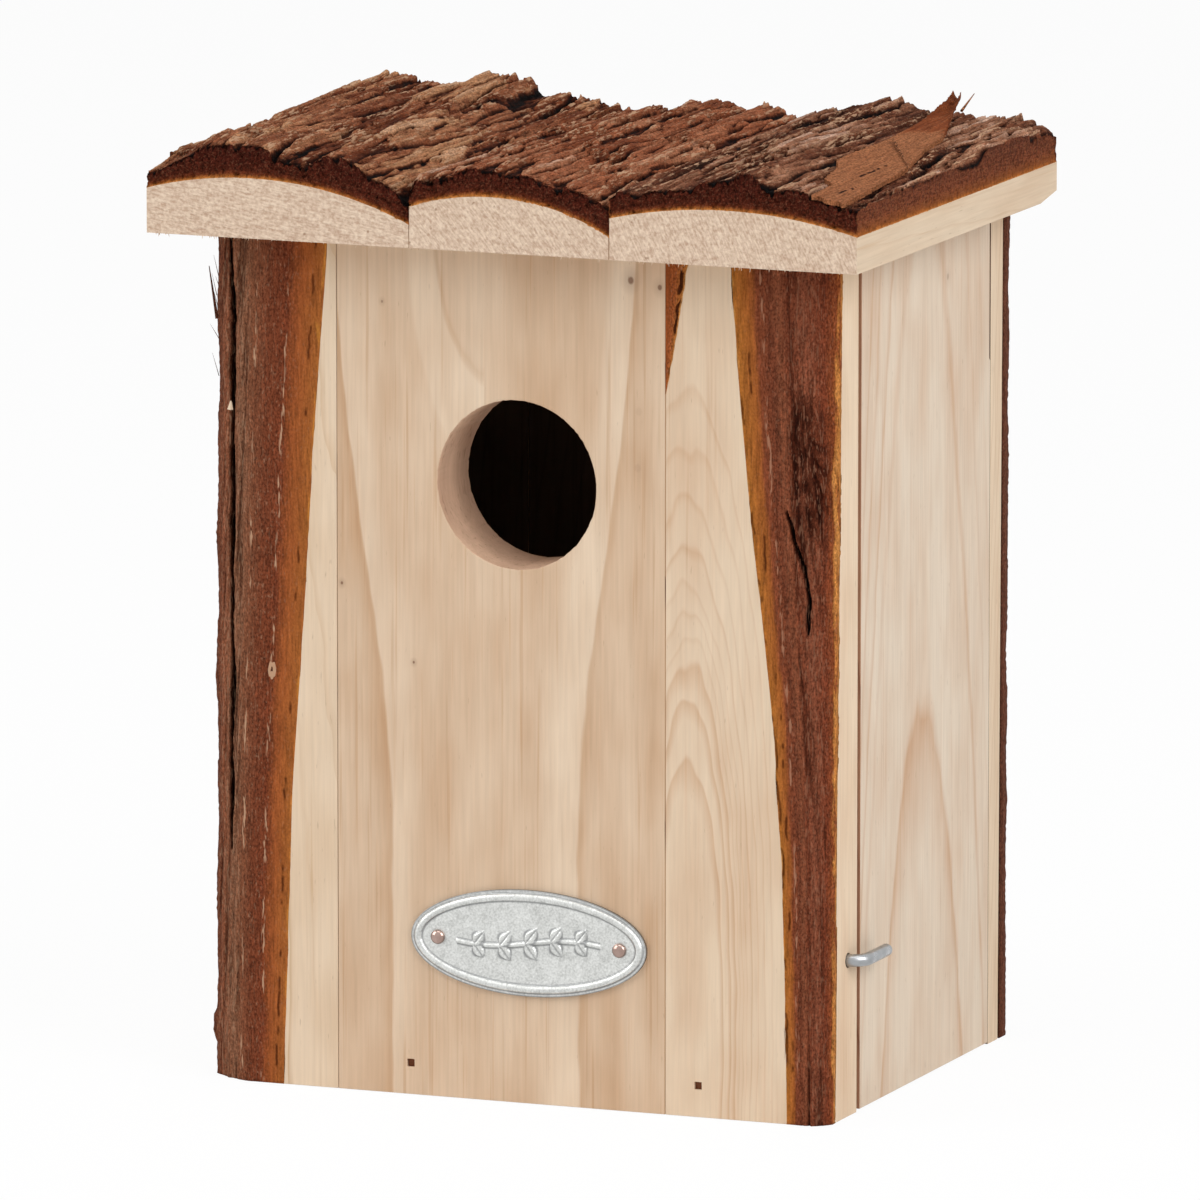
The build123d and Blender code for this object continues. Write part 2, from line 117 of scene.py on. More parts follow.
def softwood(name, axes, pith, bend, ring_gap, pale, late, ring_depth, streak_depth, arcs=(), knots=()):
    """Sawn, unfinished softwood: pale, matt, with growth rings about a bent pith and fine fibres.

    axes names the object axes across the board, through it and along the trunk. pith is a point on
    the pith, and bend its slope and curve along the trunk and the height where they start, which draw
    the arches on the face. Rings are thin lines a gap apart, darker in some years than in others, unless
    arcs gives them one by one, as pairs of a distance from the pith and a share of the darker colour.
    Distances below 0 are on the pith's left; where there are none, both sides are alike."""
    finish, tree, shader, in_mm = new_finish(name)
    axis = add(tree, "ShaderNodeSeparateXYZ", {0: in_mm}).outputs
    across, through, along = [maths(tree, "SUBTRACT", axis[letter], start)
                              for letter, start in zip(axes, pith)]
    height = maths(tree, "MAXIMUM", along, bend[2])
    slope = maths(tree, "MULTIPLY_ADD", height, bend[1], bend[0])
    leaning = maths(tree, "MULTIPLY_ADD", height, slope, through)
    section = add(tree, "ShaderNodeCombineXYZ", {0: across, 1: leaning}).outputs[0]
    trunk = add(tree, "ShaderNodeCombineXYZ", {0: across, 1: through, 2: along}).outputs[0]
    reach = add(tree, "ShaderNodeVectorMath", {0: section}, operation="LENGTH").outputs["Value"]
    wander = fibres(tree, trunk, 30.0, 160.0, 1.0)
    wobble = fibres(tree, trunk, 4.0, 14.0, 1.0)
    uneven = maths(tree, "MULTIPLY_ADD", wander, 1.2 * ring_gap, reach)
    uneven = maths(tree, "MULTIPLY_ADD", wobble, 1.1, uneven)
    if arcs:
        first, last = arcs[0][0], arcs[-1][0]
        even = maths(tree, "SUBTRACT", uneven, 0.6 * ring_gap + 0.55)
        if first < 0:
            side = maths(tree, "SIGN", across)
            even = maths(tree, "MULTIPLY", even, side)
        place = ranged(tree, even, first, last)
        growth = add(tree, "ShaderNodeValToRGB", {0: place}, stops=[
            ((distance - first) / (last - first), share) for distance, share in arcs]).outputs[0]
        weight = ring_depth
    else:
        rings = maths(tree, "DIVIDE", uneven, ring_gap)
        year = maths(tree, "FRACT", rings)
        number = maths(tree, "FLOOR", rings)
        own = add(tree, "ShaderNodeTexWhiteNoise", {"W": number}, noise_dimensions="1D").outputs["Value"]
        growth = add(tree, "ShaderNodeValToRGB", {0: year}, stops=[
            (0.0, 0.25), (0.14, 0.01), (0.55, 0.0), (0.84, 0.12), (0.96, 1.0)]).outputs[0]
        weight = ranged(tree, own, 0.0, 1.0, 0.25 * ring_depth, 1.3 * ring_depth)
    streak = fibres(tree, trunk, 7.0, 260.0, 1.0)
    cloud = fibres(tree, trunk, 9.0, 26.0, 2.0)
    fibre = fibres(tree, trunk, 0.6, 18.0, 3.0)
    fleck = fibres(tree, trunk, 0.45, 3.0, 1.0)
    line = fibres(tree, trunk, 0.8, 50.0, 2.0)
    ringed = maths(tree, "MULTIPLY", growth, weight)
    streaked = ranged(tree, streak, 0.35, 0.7, 0.0, streak_depth)
    clouded = ranged(tree, cloud, 0.35, 0.7, -0.1, 0.2)
    lined = ranged(tree, line, 0.6, 0.72, 0.0, 1.4 * streak_depth)
    shade = maths(tree, "ADD", ringed, streaked)
    shade = maths(tree, "ADD", shade, lined)
    shade = maths(tree, "ADD", shade, clouded, use_clamp=True)
    ground = mixed(tree, shade, pale, late)
    threads = ranged(tree, fibre, 0.3, 0.75, 1.04, 0.93)
    colour = mixed(tree, 1.0, ground, threads, "MULTIPLY")
    pores = ranged(tree, fleck, 0.72, 0.8, 0.0, 0.3)
    colour = mixed(tree, pores, colour, "#8a6a4e")
    flat = add(tree, "ShaderNodeVectorMath", {0: trunk, 1: (1.0, 0.0, 0.8)}, operation="MULTIPLY").outputs[0]
    for knot_across, knot_along, knot_size, knot_share in knots:
        spot = (knot_across - pith[0], 0.0, 0.8 * (knot_along - pith[2]))
        apart = add(tree, "ShaderNodeVectorMath", {0: flat, 1: spot}, operation="DISTANCE").outputs["Value"]
        eye = ranged(tree, apart, 0.5 * knot_size, knot_size, knot_share, 0.0)
        halo = ranged(tree, apart, knot_size, 3.0 * knot_size, 0.25 * knot_share, 0.0)
        stain = maths(tree, "MAXIMUM", eye, halo)
        colour = mixed(tree, stain, colour, "#6e4630")
    rough = ranged(tree, fibre, 0.3, 0.7, 0.62, 0.78)
    relief = add(tree, "ShaderNodeBump", {"Strength": 0.3, "Distance": 0.0001, "Height": fibre}).outputs[0]
    fill(tree, shader, {
        "Base Color": colour, "Roughness": rough, "Specular IOR Level": 0.3, "Normal": relief})
    return finish


def ease_arrises(bm, arris, sharpest=40, **settings):
    """Take off a mesh's arrises that turn by more than an angle in degrees."""
    sharp = [e for e in bm.edges if e.is_manifold and e.calc_face_angle() > math.radians(sharpest)]
    bmesh.ops.bevel(bm, geom=sharp, offset=arris, affect="EDGES", segments=2, profile=0.5, material=-1,
                    **settings)


def eased_copy(node, arris):
    """A copy of a CAD board, in millimetres, with its sawn arrises taken off."""
    bm = bmesh.new()
    bm.from_mesh(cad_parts[node].data)
    bm.transform(Matrix.Scale(1000, 4))
    bmesh.ops.remove_doubles(bm, verts=bm.verts, dist=0.001)
    bmesh.ops.dissolve_limit(bm, angle_limit=math.radians(1), verts=bm.verts, edges=bm.edges)
    ease_arrises(bm, arris, clamp_overlap=True)
    return bm


def put(name, data):
    """Put a new object into the scene."""
    made = bpy.data.objects.new(name, data)
    bpy.context.scene.collection.objects.link(made)
    return made


def make_piece(bm, name, body, finishes, nodes):
    """Turn a mesh drawn in millimetres into a piece that rides on a body and stands for CAD nodes."""
    bm.transform(Matrix.Scale(0.001, 4))
    mesh = bpy.data.meshes.new(name)
    bm.to_mesh(mesh)
    bm.free()
    for finish in finishes:
        mesh.materials.append(finish)
    made = put(name, mesh)
    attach(made, body)
    if nodes:
        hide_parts(*nodes)


sawn_arris = 0.3
floor_wood = softwood(
    "sawn_softwood_floor", "YZX", (0, -18, 0), (0.02, 0, -200), 2.2, "#d8c0a4", "#b08a66", 0.5, 0.3)
make_piece(eased_copy("floor_board", sawn_arris), "nest_floor", "house",
           [floor_wood], ["floor_board"])


# Left wall: one softwood board let in between the front and back panels, and nailed to both.
# Ripped and cross-cut, unfinished, its face with tall arches from a trunk that was not quite straight.
wall_wood = softwood(
    "sawn_softwood_wall", "YXZ", (4, -44, 70), (0.05, 0.0012, -200), 2.6, "#dac7b1", "#c09c7a", 0.45, 0.3)
make_piece(eased_copy("left_wall", sawn_arris), "fixed_left_wall", "house",
           [wall_wood], ["left_wall"])


# Back panel: three boards glued edge to edge, the outer two with the log's round edge under the bark.
# Softwood, planed outside and left rough inside, with the keyhole hanger let into the middle board; the inner
# faces are a darker copy of the wood, painted shade for the dim inside.
planed_arris = 0.15
back_left_wood = softwood(
    "sawn_softwood_back_left", "XYZ", (-46, 30, 90), (0.1, 0, -200), 1.6, "#dcc5a9", "#bd9873", 0.4, 0.3)
back_centre_wood = softwood(
    "sawn_softwood_back_centre", "XYZ", (-2, 24, 90), (0.16, 0.0006, -200), 3.4,
    "#d6bda1", "#ba946e", 0.45, 0.35)
back_right_wood = softwood(
    "sawn_softwood_back_right", "XYZ", (48, 26, 90), (-0.12, 0, -200), 1.5, "#dcc6ac", "#bd9873", 0.4, 0.3)
# Painted shade: the inner faces get a darker copy of the wood so that the inside of the box reads dark.
shade_darkened_inside_wood = softwood(
    "rough_sawn_softwood_inside_painted_shade", "XYZ", (-2, 24, 90), (0.16, 0.0006, -200), 3.4,
    "#6f5644", "#4e3a2d", 0.4, 0.3)
for side, wood in (("left", back_left_wood), ("centre", back_centre_wood), ("right", back_right_wood)):
    panel = eased_copy(f"back_{side}_board", planed_arris)
    for face in panel.faces:
        face.material_index = 1 if face.normal.y < -0.9 else 0
    make_piece(panel, f"back_panel_{side}", "house",
               [wood, shade_darkened_inside_wood], [f"back_{side}_board"])


# Keyhole hanger: a round-ended strip of steel let in flush, that hooks over a screw in a wall.
# Stamped sheet, electroplated with zinc: a cool grey, satin metal, a little clouded.
def plated_steel(name, colour, dull, roughness):
    """Electroplated steel: a satin metal, its plating a little uneven in tone and gloss."""
    finish, tree, shader, in_mm = new_finish(name)
    cloud = add(tree, "ShaderNodeTexNoise", {"Vector": in_mm, "Scale": 1 / 2.4, "Detail": 4.0}).outputs[0]
    tone = mixed(tree, cloud, colour, dull)
    rough = ranged(tree, cloud, 0.3, 0.7, roughness - 0.08, roughness + 0.1)
    fill(tree, shader, {"Base Color": tone, "Metallic": 1.0, "Roughness": rough})
    return finish


zinc = plated_steel("zinc_plated_steel", "#d3d5d6", "#aeb1b3", 0.3)
make_piece(eased_copy("hanger", 0.2), "keyhole_hanger", "house", [zinc], ["hanger"])


# Hanger screws: two countersunk wood screws with cross recesses, driven flush with the strip.
# Zinc-plated steel, as the strip is.
screw_head_radius = 3.0
screw_neck_radius = 1.5
screw_head_height = 1.6
screw_length = 10.0
screw_spacing = 34.0
hanger_low, hanger_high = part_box("hanger")
hanger_centre = (hanger_low + hanger_high) * 500
hanger_face = hanger_high.y * 1000


def lathe(bm, profile, steps):
    """Spin a profile of (radius, height) points about Z into a closed round form."""
    ring = [bm.verts.new((radius, 0, height)) for radius, height in profile]
    edges = [bm.edges.new(pair) for pair in zip(ring, ring[1:])]
    bmesh.ops.spin(bm, geom=ring + edges, cent=(0, 0, 0), axis=(0, 0, 1), angle=math.tau,
                   steps=steps, use_merge=True)
    bmesh.ops.remove_doubles(bm, verts=bm.verts, dist=0.0005)
    bmesh.ops.recalc_face_normals(bm, faces=bm.faces)


def saw(bm, place, normal, **options):
    """Cut every face that a plane crosses."""
    return bmesh.ops.bisect_plane(bm, geom=bm.verts[:] + bm.edges[:] + bm.faces[:], dist=1e-5,
                                  plane_co=place, plane_no=normal, **options)


def grow(bm, faces, vec=(0, 0, 0)):
    """Extrude a patch of faces along a vector, and return the vertices and faces at its new end."""
    grown = bmesh.ops.extrude_face_region(bm, geom=faces)["geom"]
    verts = [g for g in grown if isinstance(g, bmesh.types.BMVert)]
    bmesh.ops.translate(bm, verts=verts, vec=vec)
    return verts, [g for g in grown if isinstance(g, bmesh.types.BMFace)]


def join(bm, part):
    """Add one mesh to another."""
    loose = bpy.data.meshes.new("loose")
    part.to_mesh(loose)
    part.free()
    bm.from_mesh(loose)
    bpy.data.meshes.remove(loose)


def cross_recess(bm, top, reach, width, depth):
    """Sink a cross into the flat top of a turned head."""
    for axis in ((1, 0, 0), (0, 1, 0)):
        for offset in (-reach, -width, width, reach):
            saw(bm, Vector(axis) * offset, axis)
    sunk = []
    for face in bm.faces:
        middle = face.calc_center_median()
        near, far = sorted((abs(middle.x), abs(middle.y)))
        if face.normal.z > 0.9 and middle.z > top - 0.01 and near < width and far < reach:
            sunk.append(face)
    grow(bm, sunk, (0, 0, -depth))
    bmesh.ops.delete(bm, geom=sunk, context="FACES_ONLY")


screws = bmesh.new()
for side in (-1, 1):
    screw = bmesh.new()
    lathe(screw, [(0, -screw_length), (0.4, -screw_length + 1.2), (screw_neck_radius, -screw_length + 4),
                  (screw_neck_radius, -screw_head_height), (screw_head_radius, -0.15),
                  (screw_head_radius - 0.15, 0), (0, 0)], 32)
    cross_recess(screw, 0.0, 1.7, 0.35, 0.9)
    turn = Matrix.Translation((hanger_centre.x, hanger_face, hanger_centre.z + side * screw_spacing / 2))
    screw.transform(turn @ Matrix.Rotation(math.radians(-90), 4, "X") @ Matrix.Rotation(0.5 * side, 4, "Z"))
    join(screws, screw)
make_piece(screws, "hanger_cross_screws", "house", [zinc], ["hanger_screws"])


# Front panel, centre board: the board with the entrance hole, sawn from near the heart of a log.
# Softwood planed on the face, with wide tan rings in a tall arch and a few pin knots; the hole is drilled.
front_low, front_high = [corner * 1000 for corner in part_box("front_centre_board")]
hole_height = 117.8
hole_radius = 16.0
hole_segments = 180
hole_nick = 0.14
hole_arris = 0.16
brad_side = 1.5
left_brad = (-21.7, 6.0)
front_centre_wood = softwood(
    "planed_softwood_front_centre", "XYZ", (-6.5, -68.2, 45), (0, -0.0016, 0), 1.6,
    "#e2cbb1", "#b98f68", 0.75, 0.2,
    arcs=[(-46, 0.3), (-41, 0.15), (-38.5, 0.15), (-36, 0.3), (-33, 0.45), (-31.3, 0.75), (-30.6, 0.95),
          (-30.3, 0.1), (-27.5, 0.15), (-25.5, 0.35), (-16, 0.32), (-15.4, 0.05), (-10.8, 0.05),
          (-10.2, 0.6), (-9.6, 0.35), (24.8, 0.38), (26.5, 0.08), (30.2, 0.08), (30.6, 0.8), (31.5, 0.55),
          (33, 0.45), (36, 0.45), (37, 0.38), (39.5, 0.38), (41, 0.55), (46, 0.5)],
    knots=[(23.0, 157.8, 0.8, 0.8), (28.8, 156.8, 0.6, 0.8), (24.6, 133.2, 0.9, 0.12),
           (24.4, 122.5, 0.9, 0.12), (-27.2, 151.0, 0.3, 0.6), (-20.9, 82.8, 0.3, 0.8),
           (-35.5, 97.0, 0.35, 0.8)])
drilled_wood = softwood(
    "drilled_softwood_hole", "YXZ", (-36, -20, 110), (0, 0, -200), 14.0, "#dcb99d", "#a27c64", 0.15, 0.35)
glue_line = softwood(
    "glue_line_softwood", "XYZ", (-6.5, -68.2, 35), (0.3, 0, -200), 9.0, "#bd9977", "#6e4f3a", 0.8, 0.6)

front_centre = bmesh.new()
outline = [(front_low.x, front_low.z), (front_high.x, front_low.z),
           (front_high.x, front_high.z), (front_low.x, front_high.z)]
brad_hole = [(left_brad[0] + a * brad_side / 2, left_brad[1] + b * brad_side / 2)
             for a, b in ((-1, -1), (1, -1), (1, 1), (-1, 1))]
random.seed(7)
rim = []
for i in range(hole_segments):
    angle = math.tau * i / hole_segments
    nick = hole_nick * random.random() ** 3
    rim.append(((hole_radius + nick) * math.cos(angle), hole_height + (hole_radius + nick) * math.sin(angle)))
loops = []
for points in (outline, brad_hole, rim):
    corners = [front_centre.verts.new((x, front_low.y, z)) for x, z in points]
    loops += [front_centre.edges.new((a, b)) for a, b in zip(corners, corners[1:] + corners[:1])]
bmesh.ops.triangle_fill(front_centre, use_beauty=True, use_dissolve=False, edges=loops)
grow(front_centre, front_centre.faces[:], (0, front_high.y - front_low.y, 0))
bmesh.ops.recalc_face_normals(front_centre, faces=front_centre.faces)
for face in front_centre.faces:
    middle = face.calc_center_median()
    from_hole = math.hypot(middle.x, middle.z - hole_height)
    if abs(face.normal.y) < 0.5 and from_hole < hole_radius + 1:
        face.material_index = 1
ease_arrises(front_centre, hole_arris)
for face in front_centre.faces:
    middle = face.calc_center_median()
    if min(middle.x - front_low.x, front_high.x - middle.x) < hole_arris + 0.01:
        face.material_index = 2
make_piece(front_centre, "front_panel_centre", "house",
           [front_centre_wood, drilled_wood, glue_line], ["front_centre_board"])


# Front panel, outer boards: sawn from the outside of logs, so that each keeps a strip of bark on its edge.
# Planed softwood, glued to the centre board; the wood rounds back under the bark along the log's side.
wall_height = front_high.z
front_left_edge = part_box("front_left_board")[0].x * 1000
front_right_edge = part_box("front_right_board")[1].x * 1000
front_left_reach = [(0, 15.7), (26, 16.8), (58, 17.8), (92, 20.4), (130, 22.7), (162.8, 25.5)]
front_right_reach = [(0, 8.0), (41, 8.9), (73, 10.7), (100, 13.8), (127, 16.9), (162.8, 19.7)]
front_left_fall = [(0, 8.5), (162.8, 11.0)]
front_right_fall = [(0, 4.0), (162.8, 7.2)]
right_brad = (36.6, 6.0)
hook_hole = (-33.575, 29.9)
hook_hole_radius = 1.45


def eased(points, height):
    """A measured line of (height, size) pairs, drawn as a smooth curve."""
    total = 0.0
    offsets = (-9, -4.5, 0, 4.5, 9)
    for offset in offsets:
        at = min(max(height + offset, points[0][0]), points[-1][0])
        for (h0, s0), (h1, s1) in zip(points, points[1:]):
            if at <= h1:
                total += s0 + (s1 - s0) * (at - h0) / (h1 - h0)
                break
    return total / len(offsets)


def waney_board(seam, edge, reach, fall, face_y, inner_y):
    """A board between planes whose face drops away along the log's side, under where the bark lies."""
    flat_share = 0.25
    bm = bmesh.new()
    bmesh.ops.create_grid(bm, x_segments=16, y_segments=64, size=0.5)
    toward = 1 if seam > edge else -1
    inward = 1 if inner_y > face_y else -1
    for v in bm.verts:
        share = v.co.x + 0.5
        height = (v.co.y + 0.5) * wall_height
        line = edge + toward * eased(reach, height)
        if share <= flat_share:
            v.co = (seam + (line - seam) * share / flat_share, face_y, height)
        else:
            round_share = (share - flat_share) / (1 - flat_share)
            drop = eased(fall, height) * (0.35 * round_share + 0.65 * round_share ** 2)
            v.co = (line + (edge - line) * round_share, face_y + inward * drop, height)
    for v in grow(bm, bm.faces[:])[0]:
        v.co.y = inner_y
    bmesh.ops.recalc_face_normals(bm, faces=bm.faces)
    ease_arrises(bm, planed_arris, 50)
    return bm


def bore(bm, cutter):
    """Cut one mesh out of another."""
    objects = []
    for name, mesh_data in (("board", bm), ("drill", cutter)):
        mesh = bpy.data.meshes.new(name)
        mesh_data.to_mesh(mesh)
        mesh_data.free()
        objects.append(put(name, mesh))
    board, drill = objects
    cut = board.modifiers.new("bore", "BOOLEAN")
    cut.object = drill
    cut.operation = "DIFFERENCE"
    cut.solver = "EXACT"
    depsgraph = bpy.context.evaluated_depsgraph_get()
    bored = bmesh.new()
    bored.from_object(board, depsgraph)
    for made in objects:
        bpy.data.meshes.remove(made.data)
    return bored


front_left_wood = softwood(
    "planed_softwood_front_left", "XYZ", (-31, -18, 60), (0.03, 0.0002, -200), 2.4,
    "#e2cbb0", "#bf9970", 0.35, 0.2)
front_right_wood = softwood(
    "planed_softwood_front_right", "XYZ", (34.5, -57, 105), (0.14, 0, -200), 0.9,
    "#e0c9ae", "#bb8a60", 0.55, 0.12,
    arcs=[(0, 0.0), (6.4, 0.03), (7.25, 0.8), (7.4, 0.05), (8.2, 0.1), (8.8, 0.8), (8.95, 0.1), (9.2, 0.2),
          (9.85, 0.85), (10.0, 0.15), (10.4, 0.2), (10.55, 0.5), (10.65, 0.15), (11.1, 0.2), (11.25, 0.5),
          (11.35, 0.12), (11.8, 0.2), (11.95, 0.45), (12.05, 0.1), (12.7, 0.15), (12.95, 0.6), (13.1, 0.05),
          (14.0, 0.1), (14.25, 0.45), (14.4, 0.03), (15.4, 0.08), (15.7, 0.4), (15.85, 0.03), (16.9, 0.05),
          (17.2, 0.4), (17.35, 0.0)])
left_rough = waney_board(front_low.x, front_left_edge, front_left_reach, front_left_fall,
                         front_low.y, front_high.y)
make_piece(left_rough, "front_panel_left", "house", [front_left_wood], ["front_left_board"])

drills = bmesh.new()
bmesh.ops.create_cone(drills, cap_ends=True, segments=28, radius1=hook_hole_radius, radius2=hook_hole_radius,
                      depth=50, matrix=Matrix.Translation((front_right_edge, hook_hole[0], hook_hole[1]))
                      @ Matrix.Rotation(math.radians(90), 4, "Y"))
bmesh.ops.create_cube(drills, size=1, matrix=Matrix.Translation((right_brad[0], front_low.y, right_brad[1]))
                      @ Matrix.Diagonal((brad_side, 3.0, brad_side, 1)))
right_rough = waney_board(front_high.x, front_right_edge, front_right_reach, front_right_fall,
                          front_low.y, front_high.y)
make_piece(bore(right_rough, drills), "front_panel_right", "house",
           [front_right_wood], ["front_right_board"])


# Wall bark: strips of a conifer's bark left on the boards' outer edges, front and back.
# Next to the wood it is sawn through and shows orange inner bark; further out it is reddish and fibrous.
# Loose hairs stand off the front's left strip near the roof, and a chip of wood is caught in its crack.
def bark_finish(name, trunk_axis, layers, spread, torn_colour, contrast=0.25):
    """Conifer bark: matt and fibrous. Marks on the mesh give its painted shade with its own dark marks, its
    layer and where it is torn.
    """
    finish, tree, shader, in_mm = new_finish(name)
    axis = add(tree, "ShaderNodeSeparateXYZ", {0: in_mm}).outputs
    sides = [letter for letter in "XYZ" if letter != trunk_axis]
    trunk = add(tree, "ShaderNodeCombineXYZ", {
        0: axis[sides[0]], 1: axis[sides[1]], 2: axis[trunk_axis]}).outputs[0]
    marks = add(tree, "ShaderNodeAttribute", attribute_name="bark")
    unshaded_unmarked_share, layer, torn = add(tree, "ShaderNodeSeparateColor", {0: marks.outputs["Color"]}).outputs
    fibre = fibres(tree, trunk, 0.5, 5.0, 4.0, 0.8)
    grit = fibres(tree, trunk, 0.35, 0.55, 3.0)
    crumb = fibres(tree, trunk, 0.5, 1.0, 2.0)
    dash = fibres(tree, trunk, 0.4, 2.6, 1.5)
    patch = fibres(tree, trunk, 2.2, 9.0, 3.0, 0.8)
    level = maths(tree, "MULTIPLY_ADD", patch, spread, layer)
    level = maths(tree, "SUBTRACT", level, spread / 2)
    colour = add(tree, "ShaderNodeValToRGB", {0: level}, stops=layers).outputs[0]
    threads = ranged(tree, fibre, 0.3, 0.7, 1 - contrast, 1 + contrast)
    colour = mixed(tree, 1.0, colour, threads, "MULTIPLY")
    coarse = ranged(tree, layer, 0.18, 0.32, 0.35, 1.0)
    specks = ranged(tree, grit, 0.32, 0.68, 0.5, 1.5)
    colour = mixed(tree, coarse, colour, specks, "MULTIPLY")
    crumbs = ranged(tree, crumb, 0.6, 0.72, 0.0, 0.3)
    crumbs = maths(tree, "MULTIPLY", crumbs, coarse)
    colour = mixed(tree, crumbs, colour, torn_colour)
    # Painted shade: the first mark darkens clefts, cracks and hollows, besides the bark's own dark marks.
    shadow = add(tree, "ShaderNodeValToRGB", {0: unshaded_unmarked_share}, stops=[
        (0.0, "#1a0e0a"), (0.4, "#88766c"), (0.85, "#ffffff")]).outputs[0]
    colour = mixed(tree, 1.0, colour, shadow, "MULTIPLY")
    likely = maths(tree, "MULTIPLY_ADD", torn, 0.12, dash)
    dashes = ranged(tree, likely, 0.59, 0.68, 0.0, 0.95)
    dashes = maths(tree, "MULTIPLY", dashes, torn)
    colour = mixed(tree, dashes, colour, torn_colour)
    height = maths(tree, "ADD", fibre, grit)
    relief = add(tree, "ShaderNodeBump", {"Strength": 0.6, "Distance": 0.0003, "Height": height}).outputs[0]
    fill(tree, shader, {
        "Base Color": colour, "Roughness": 0.82, "Specular IOR Level": 0.05, "Normal": relief})
    return finish


def smooth_step(low, high, value):
    """0 at low, 1 at high and beyond, and an even curve between."""
    share = min(max((value - low) / (high - low), 0.0), 1.0)
    return share * share * (3 - 2 * share)


